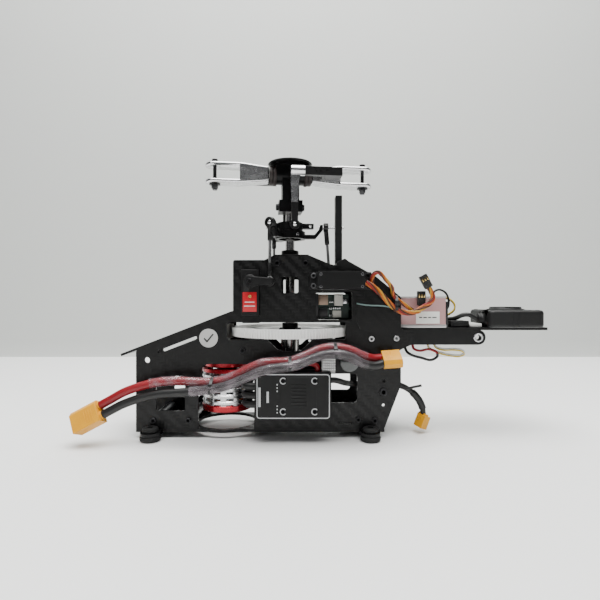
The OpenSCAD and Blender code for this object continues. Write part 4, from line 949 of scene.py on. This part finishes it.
board_grey = finish("bare solder board", (0.2, 0.2, 0.2), (0.32, 0.32, 0.31), 0.4, metallic=0.5, grain=800,
    bump=0.3)
shape = bmesh.new()
add_block(shape, at(16.2, -27.3, case_top - 0.4), at(22.8, -26.4, case_top + 7.2), 0.1 * MM)
for i in range(6):
    for k in range(5):
        x, z = 17 + 1.05 * i, case_top + 1 + 1.25 * k
        add_block(shape, at(x, -27.75, z), at(x + 0.6, -27.2, z + 0.7), 0.1 * MM, 1)
solder_board = mesh_piece("solder_board", shape, board_grey, bright_steel)
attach(solder_board, "frame")

# ---- Fixed leads ----
# Three thick black silicone wires run from the motor to the nose end of the speed controller, and a
# red wire bends over its top and in again.
shape = bmesh.new()
for z in (27.8, 23.4, 19):
    route = [(-21.2, -6, z + 2), (-20.4, -10, z + 1), (-20.8, -14, z + 0.4), (-22.4, -17.6, z),
        (-22.4, -21, z), (-20, -23.4, z), (-16.4, -23.8, z)]
    line = smooth(route)
    curve_mesh(shape, line, 3.2)
    curve_mesh(shape, line[-9:], 3.9)
supply = [(14, -25, case_top), (14, -25, 38), (10.4, -25, 39.6), (5, -25, 39), (0, -25, 37.4),
    (-3, -25, case_top)]
curve_mesh(shape, smooth(supply), 2.6, 1)
fixed = mesh_piece("fixed_leads_finish", shape, black_silicone, red_silicone, sharp=60)
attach(fixed, "frame")
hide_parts("fixed_leads")

# ---- Receiver boards ----
# Two small circuit boards between the plates, seen through the rear window, with grey connector
# housings and chips on a dark green board. A tall black block at their left end is painted shade.
board_green = finish("circuit board", (0.012, 0.03, 0.022), (0.025, 0.05, 0.038), 0.35, grain=500, coat=0.4)
connector_cream = finish("connector cream", (0.42, 0.41, 0.37), (0.52, 0.5, 0.46), 0.45, grain=500)
black_chip_and_shade = finish("chip", (0.012, 0.012, 0.013), (0.02, 0.02, 0.021), 0.35, grain=700, bump=0.05)
chip_tan = finish("crystal can", (0.2, 0.14, 0.1), (0.3, 0.22, 0.17), 0.4, metallic=0.6, grain=500)
paint("receiver", board_green)
shape = bmesh.new()
# The last block, tall and black, is painted shade that fills the window's left gap.
for x, y, z, wide, deep, tall, kind in ((15.3, -11.6, 68.4, 5, 3.4, 5.4, 3),
        (23.6, -12.4, 68, 4.4, 4.2, 6.2, 0), (15.4, -11.3, 61.9, 4.8, 3, 4.8, 1),
        (22.6, -12.3, 61.9, 4.6, 4, 3.6, 0), (28.4, -9.4, 69, 2.6, 1.6, 2.4, 2),
        (12.3, -11.4, 60.4, 2.9, 2.4, 14, 1)):
    add_block(shape, at(x, y, z), at(x + wide, y + deep, z + tall), 0.2 * MM, kind)
for i in range(4):
    add_rod(shape, at(23.9 + 1.15 * i, -12.9, 73.2), at(23.9 + 1.15 * i, -12.3, 73.2), 0.3 * MM, sides=10,
        paint=2)
    add_block(shape, at(22.9 + 1.1 * i, -12.6, 66.2), at(23.5 + 1.1 * i, -12.2, 67.2), 0.1 * MM, 2)
for i in range(9):
    add_block(shape, at(21 + 0.9 * (i % 3), -8.5, 62.3 + 3.6 * (i // 3)),
        at(21.6 + 0.9 * (i % 3), -8, 63.4 + 3.6 * (i // 3)), 0.08 * MM, 2)
chips_and_shade_block = mesh_piece("receiver_chips_and_shade_block", shape, connector_cream, black_chip_and_shade, bright_steel, chip_tan)
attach(chips_and_shade_block, "frame")

# ---- Receiver box ----
# A dusty rose plastic box between two silver edge strips, with a black end cap towards the tail and
# a blank white label on its near side.
rose = finish("rose plastic", (0.36, 0.2, 0.2), (0.44, 0.26, 0.26), 0.4, grain=160, bump=0.05, coat=0.3)
softened("flight_controller", "frame", 0.6, rose, segments=3)
box_low, box_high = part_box("flight_controller")
box_nose, box_tail = (box_low.x - shaft.x) / MM, (box_high.x - shaft.x) / MM
box_near, box_bottom, box_top = box_low.y / MM, box_low.z / MM, box_high.z / MM
edge_grey = finish("silver edge", (0.42, 0.4, 0.4), (0.5, 0.48, 0.48), 0.35, metallic=0.6, grain=300)
shape = bmesh.new()
add_block(shape, at(box_nose - 0.15, box_near - 0.18, box_bottom),
    at(box_tail + 0.15, -box_near + 0.18, box_bottom + 1.7), 0.2 * MM)
add_block(shape, at(box_nose - 0.1, box_near - 0.12, box_top - 0.9),
    at(box_tail + 0.1, -box_near + 0.12, box_top + 0.12), 0.2 * MM)
add_block(shape, at(box_tail - 0.2, box_near + 0.6, box_bottom + 0.2),
    at(box_tail + 1.3, -box_near - 0.6, box_top - 2.6), 0.3 * MM, 1)
strips = mesh_piece("box_edges", shape, edge_grey, plug_black)
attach(strips, "frame")
shape = bmesh.new()
add_block(shape, at(66.6, box_near - 0.12, 58.6), at(79, box_near + 0.05, 64.9), 0.04 * MM)
for x, long in ((68.2, 1.6), (70.4, 1.9), (72.9, 1.6), (75.1, 2.3)):
    add_bar(shape, (x, 61.8), (x + long, 61.8), box_near - 0.1, 0.55, 1)
white_label = finish("white label", (0.66, 0.66, 0.63), (0.74, 0.74, 0.71), 0.55, grain=400, bump=0.04)
blank = mesh_piece("box_label", shape, white_label, ink)
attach(blank, "frame")

# ---- Tail bracket and its module ----
# A black bracket with a rounded end holds the tail boom's bolt. On the shelf above it lie a small
# connector box, a pad of white foam and a square black module with a round cap and a cable gland.
softened("boom_mount", "frame", 0.4, guide_plastic)
module_plastic = finish("module plastic", (0.002, 0.002, 0.0022), (0.0045, 0.0045, 0.0047), 0.5, shine=0.35,
    grain=900, bump=0.25)
softened("gps_module", "frame", 1.6, module_plastic, segments=4, clamp=False)
module_low, module_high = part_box("gps_module")
module_nose, module_tail = (module_low.x - shaft.x) / MM + 3.2, (module_high.x - shaft.x) / MM
shelf_z = module_low.z / MM
middle = module_nose + 14.7
shape = bmesh.new()
lathe(shape, middle, [(8.2, shelf_z + 9.1), (9.6, shelf_z + 9.1), (9.6, shelf_z + 9.5),
    (8.9, shelf_z + 9.75), (8.2, shelf_z + 9.75)], steps=60)
for i in range(3):
    x = module_nose - 3 + 1.1 * i
    add_rod(shape, at(x, -5, shelf_z + 4.4), at(x + 0.6, -5, shelf_z + 4.4), 3.15 * MM, sides=32,
        bevel=0.2 * MM)
for x in (middle - 2.4, middle + 0.6):
    add_block(shape, at(x, -14.12, shelf_z + 0.5), at(x + 0.5, -13.7, shelf_z + 8.6), 0.1 * MM)
for y in (-11, 11):
    for x in (module_nose + 3, module_tail - 3):
        add_screw(shape, at(x, y, shelf_z + 9.1), Vector((0, 0, 1)), 1.1 * MM, 0.25 * MM)
trim = mesh_piece("module_trim", shape, module_plastic)
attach(trim, "frame")
foam = finish("white foam", (0.5, 0.5, 0.48), (0.62, 0.62, 0.6), 0.8, grain=900, bump=0.5)
shape = bmesh.new()
add_block(shape, at(86.4, -7.6, shelf_z), at(96.4, 3.4, shelf_z + 3.4), 0.5 * MM)
add_block(shape, at(88, -8, shelf_z + 0.6), at(95, -7.4, shelf_z + 2.6), 0.1 * MM)
add_block(shape, at(96.6, -8.4, shelf_z), at(103, 5, shelf_z + 2.1), 0.6 * MM, 1)
pads = mesh_piece("shelf_pads", shape, module_plastic, foam)
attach(pads, "frame")
shape = bmesh.new()
face_y = -8
bolt_x, bolt_z = 101, 51
outline = [(1.55, -0.1), (1.55, 0.4), (2.1, 0.5), (2.5, 0.3), (2.6, -0.1)]
spin_outline(shape, [at(bolt_x + r, face_y - y, bolt_z) for r, y in outline], at(bolt_x, 0, bolt_z),
    (0, 1, 0), 40)
eyelet = mesh_piece("boom_eyelet", shape, bright_steel)
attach(eyelet, "frame")

# ---- Small leads at the tail ----
# The module's thick black cable arches over the shelf. Thin wires loop out of the receiver box, and
# under the bracket a red and a black wire and a twisted group hang in small loops.
yellow_wire = finish("yellow wire", (0.6, 0.42, 0.03), (0.72, 0.52, 0.05), 0.4, grain=600)
white_wire = finish("white wire", (0.5, 0.5, 0.47), (0.62, 0.62, 0.58), 0.4, grain=600)
shape = bmesh.new()
module_route = [(82.4, 3, 61), (85, 2.2, 60.6), (88, 0, 60.4), (91, -2.6, 61.2), (94, -4.4, 62.8),
    (97, -5, 63), (99.4, -5, 61.8), (101.3, -5, 60.8)]
curve_mesh(shape, smooth(module_route), 2.4, 0)
loop = [(82.4, 8, 70.6), (86, 7.4, 72), (90, 6.6, 71.4), (93, 6, 68.6), (93, 6, 65.2), (90, 6.6, 62.6),
    (86, 7.4, 61.6), (82.4, 8, 62)]
curve_mesh(shape, smooth(loop), 0.9, 1)
curve_mesh(shape, smooth([(x - 0.2, y - 0.8, z + 0.5) for x, y, z in loop]), 0.9, 2)
aerial = [(80, 2, 72.8), (80.4, 2.4, 75.4), (83.6, 3, 76.8), (87.4, 3.4, 75), (89, 3.4, 71),
    (88.6, 3.2, 67), (86, 2.6, 65.4), (82.4, 2, 65.4)]
curve_mesh(shape, smooth(aerial), 1.2, 0)
under_near = [(66.4, -5.4, 47), (67.2, -5.6, 44.6), (70.4, -6, 43.6), (75, -6, 44.4), (79, -6, 43),
    (79.6, -6, 40.4), (76, -6, 38.6), (71, -6, 39.8), (66.6, -6, 41), (63.6, -4.4, 43), (62.6, -2, 47)]
line = smooth(under_near)
curve_mesh(shape, line[:28], 1.4, 1)
curve_mesh(shape, line[26:], 1.5, 0)
under_far = [(80, 2, 47), (81.4, 1.2, 44.6), (85, 0, 43.6), (90, -1, 43.8), (94.6, -1, 43.2),
    (96, -1, 41.4), (93, -1, 40.2), (88, 0, 40.6), (82, 2, 42), (78, 3, 44), (77, 3, 47)]
line = smooth(under_far)
for k, kind in enumerate((0, 3, 2)):
    shift = Vector((0, cos(2.1 * k), sin(2.1 * k))) * 0.45 * MM
    curve_mesh(shape, [p + shift for p in line], 0.8, kind)
small_leads = mesh_piece("box_leads_finish", shape, black_silicone, red_silicone, yellow_wire, white_wire,
    sharp=60)
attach(small_leads, "frame")
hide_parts("box_leads")


# ---- Cable ties ----
# Narrow black nylon ties draw the leads together, each with its square lock, and one cut strap end lies
# loose.
def add_tie(shape, a, b, radius, width=1.5):
    """A flat strap around two neighbouring leads, with its lock on the near side."""
    centre, apart = (a + b) / 2, (a - b).normalized()
    reach = (a - b).length / 2 + radius
    outward = apart.cross(Vector((1, 0, 0))).normalized() * (radius + 0.3 * MM)
    steps = 40
    angles = [2 * pi * k / steps for k in range(steps)]
    loop = [shape.verts.new(centre + apart * reach * cos(angle) + outward * sin(angle)) for angle in angles]
    edges = [shape.edges.new(pair) for pair in zip(loop, loop[1:] + loop[:1])]
    up = bmesh.ops.extrude_edge_only(shape, edges=edges)["geom"]
    side = [v for v in up if isinstance(v, bmesh.types.BMVert)]
    bmesh.ops.translate(shape, vec=(width * MM, 0, 0), verts=side)
    faces = [f for v in side for f in v.link_faces]
    bmesh.ops.solidify(shape, geom=list(set(faces)), thickness=0.35 * MM)
    lock = centre + Vector((width / 2 * MM, -radius - 0.6 * MM, 0))
    add_block(shape, lock - Vector((1.1, 0.8, 1.2)) * MM, lock + Vector((1.1, 0.8, 1.2)) * MM, 0.2 * MM)


tie_nylon = finish("tie nylon", (0.005, 0.005, 0.0055), (0.012, 0.012, 0.0125), 0.4, grain=500, bump=0.1)
shape = bmesh.new()
for i in (26, 48, 84):
    a, b = red_line[i], min(black_line, key=lambda p: abs(p.x - red_line[i].x))
    add_tie(shape, a, b, 2.6 * MM)
add_tie(shape, at(53.4, -21.6, 67.4), at(53.6, -19.2, 71.6), 1.9 * MM)
strap_end = [(59, -9.4, 24.4), (62.4, -9.8, 24), (66, -10, 24.8), (70, -10, 25.6)]
curve_mesh(shape, smooth(strap_end), 1.4)
ties = mesh_piece("cable_ties", shape, tie_nylon, sharp=30)
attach(ties, "frame")
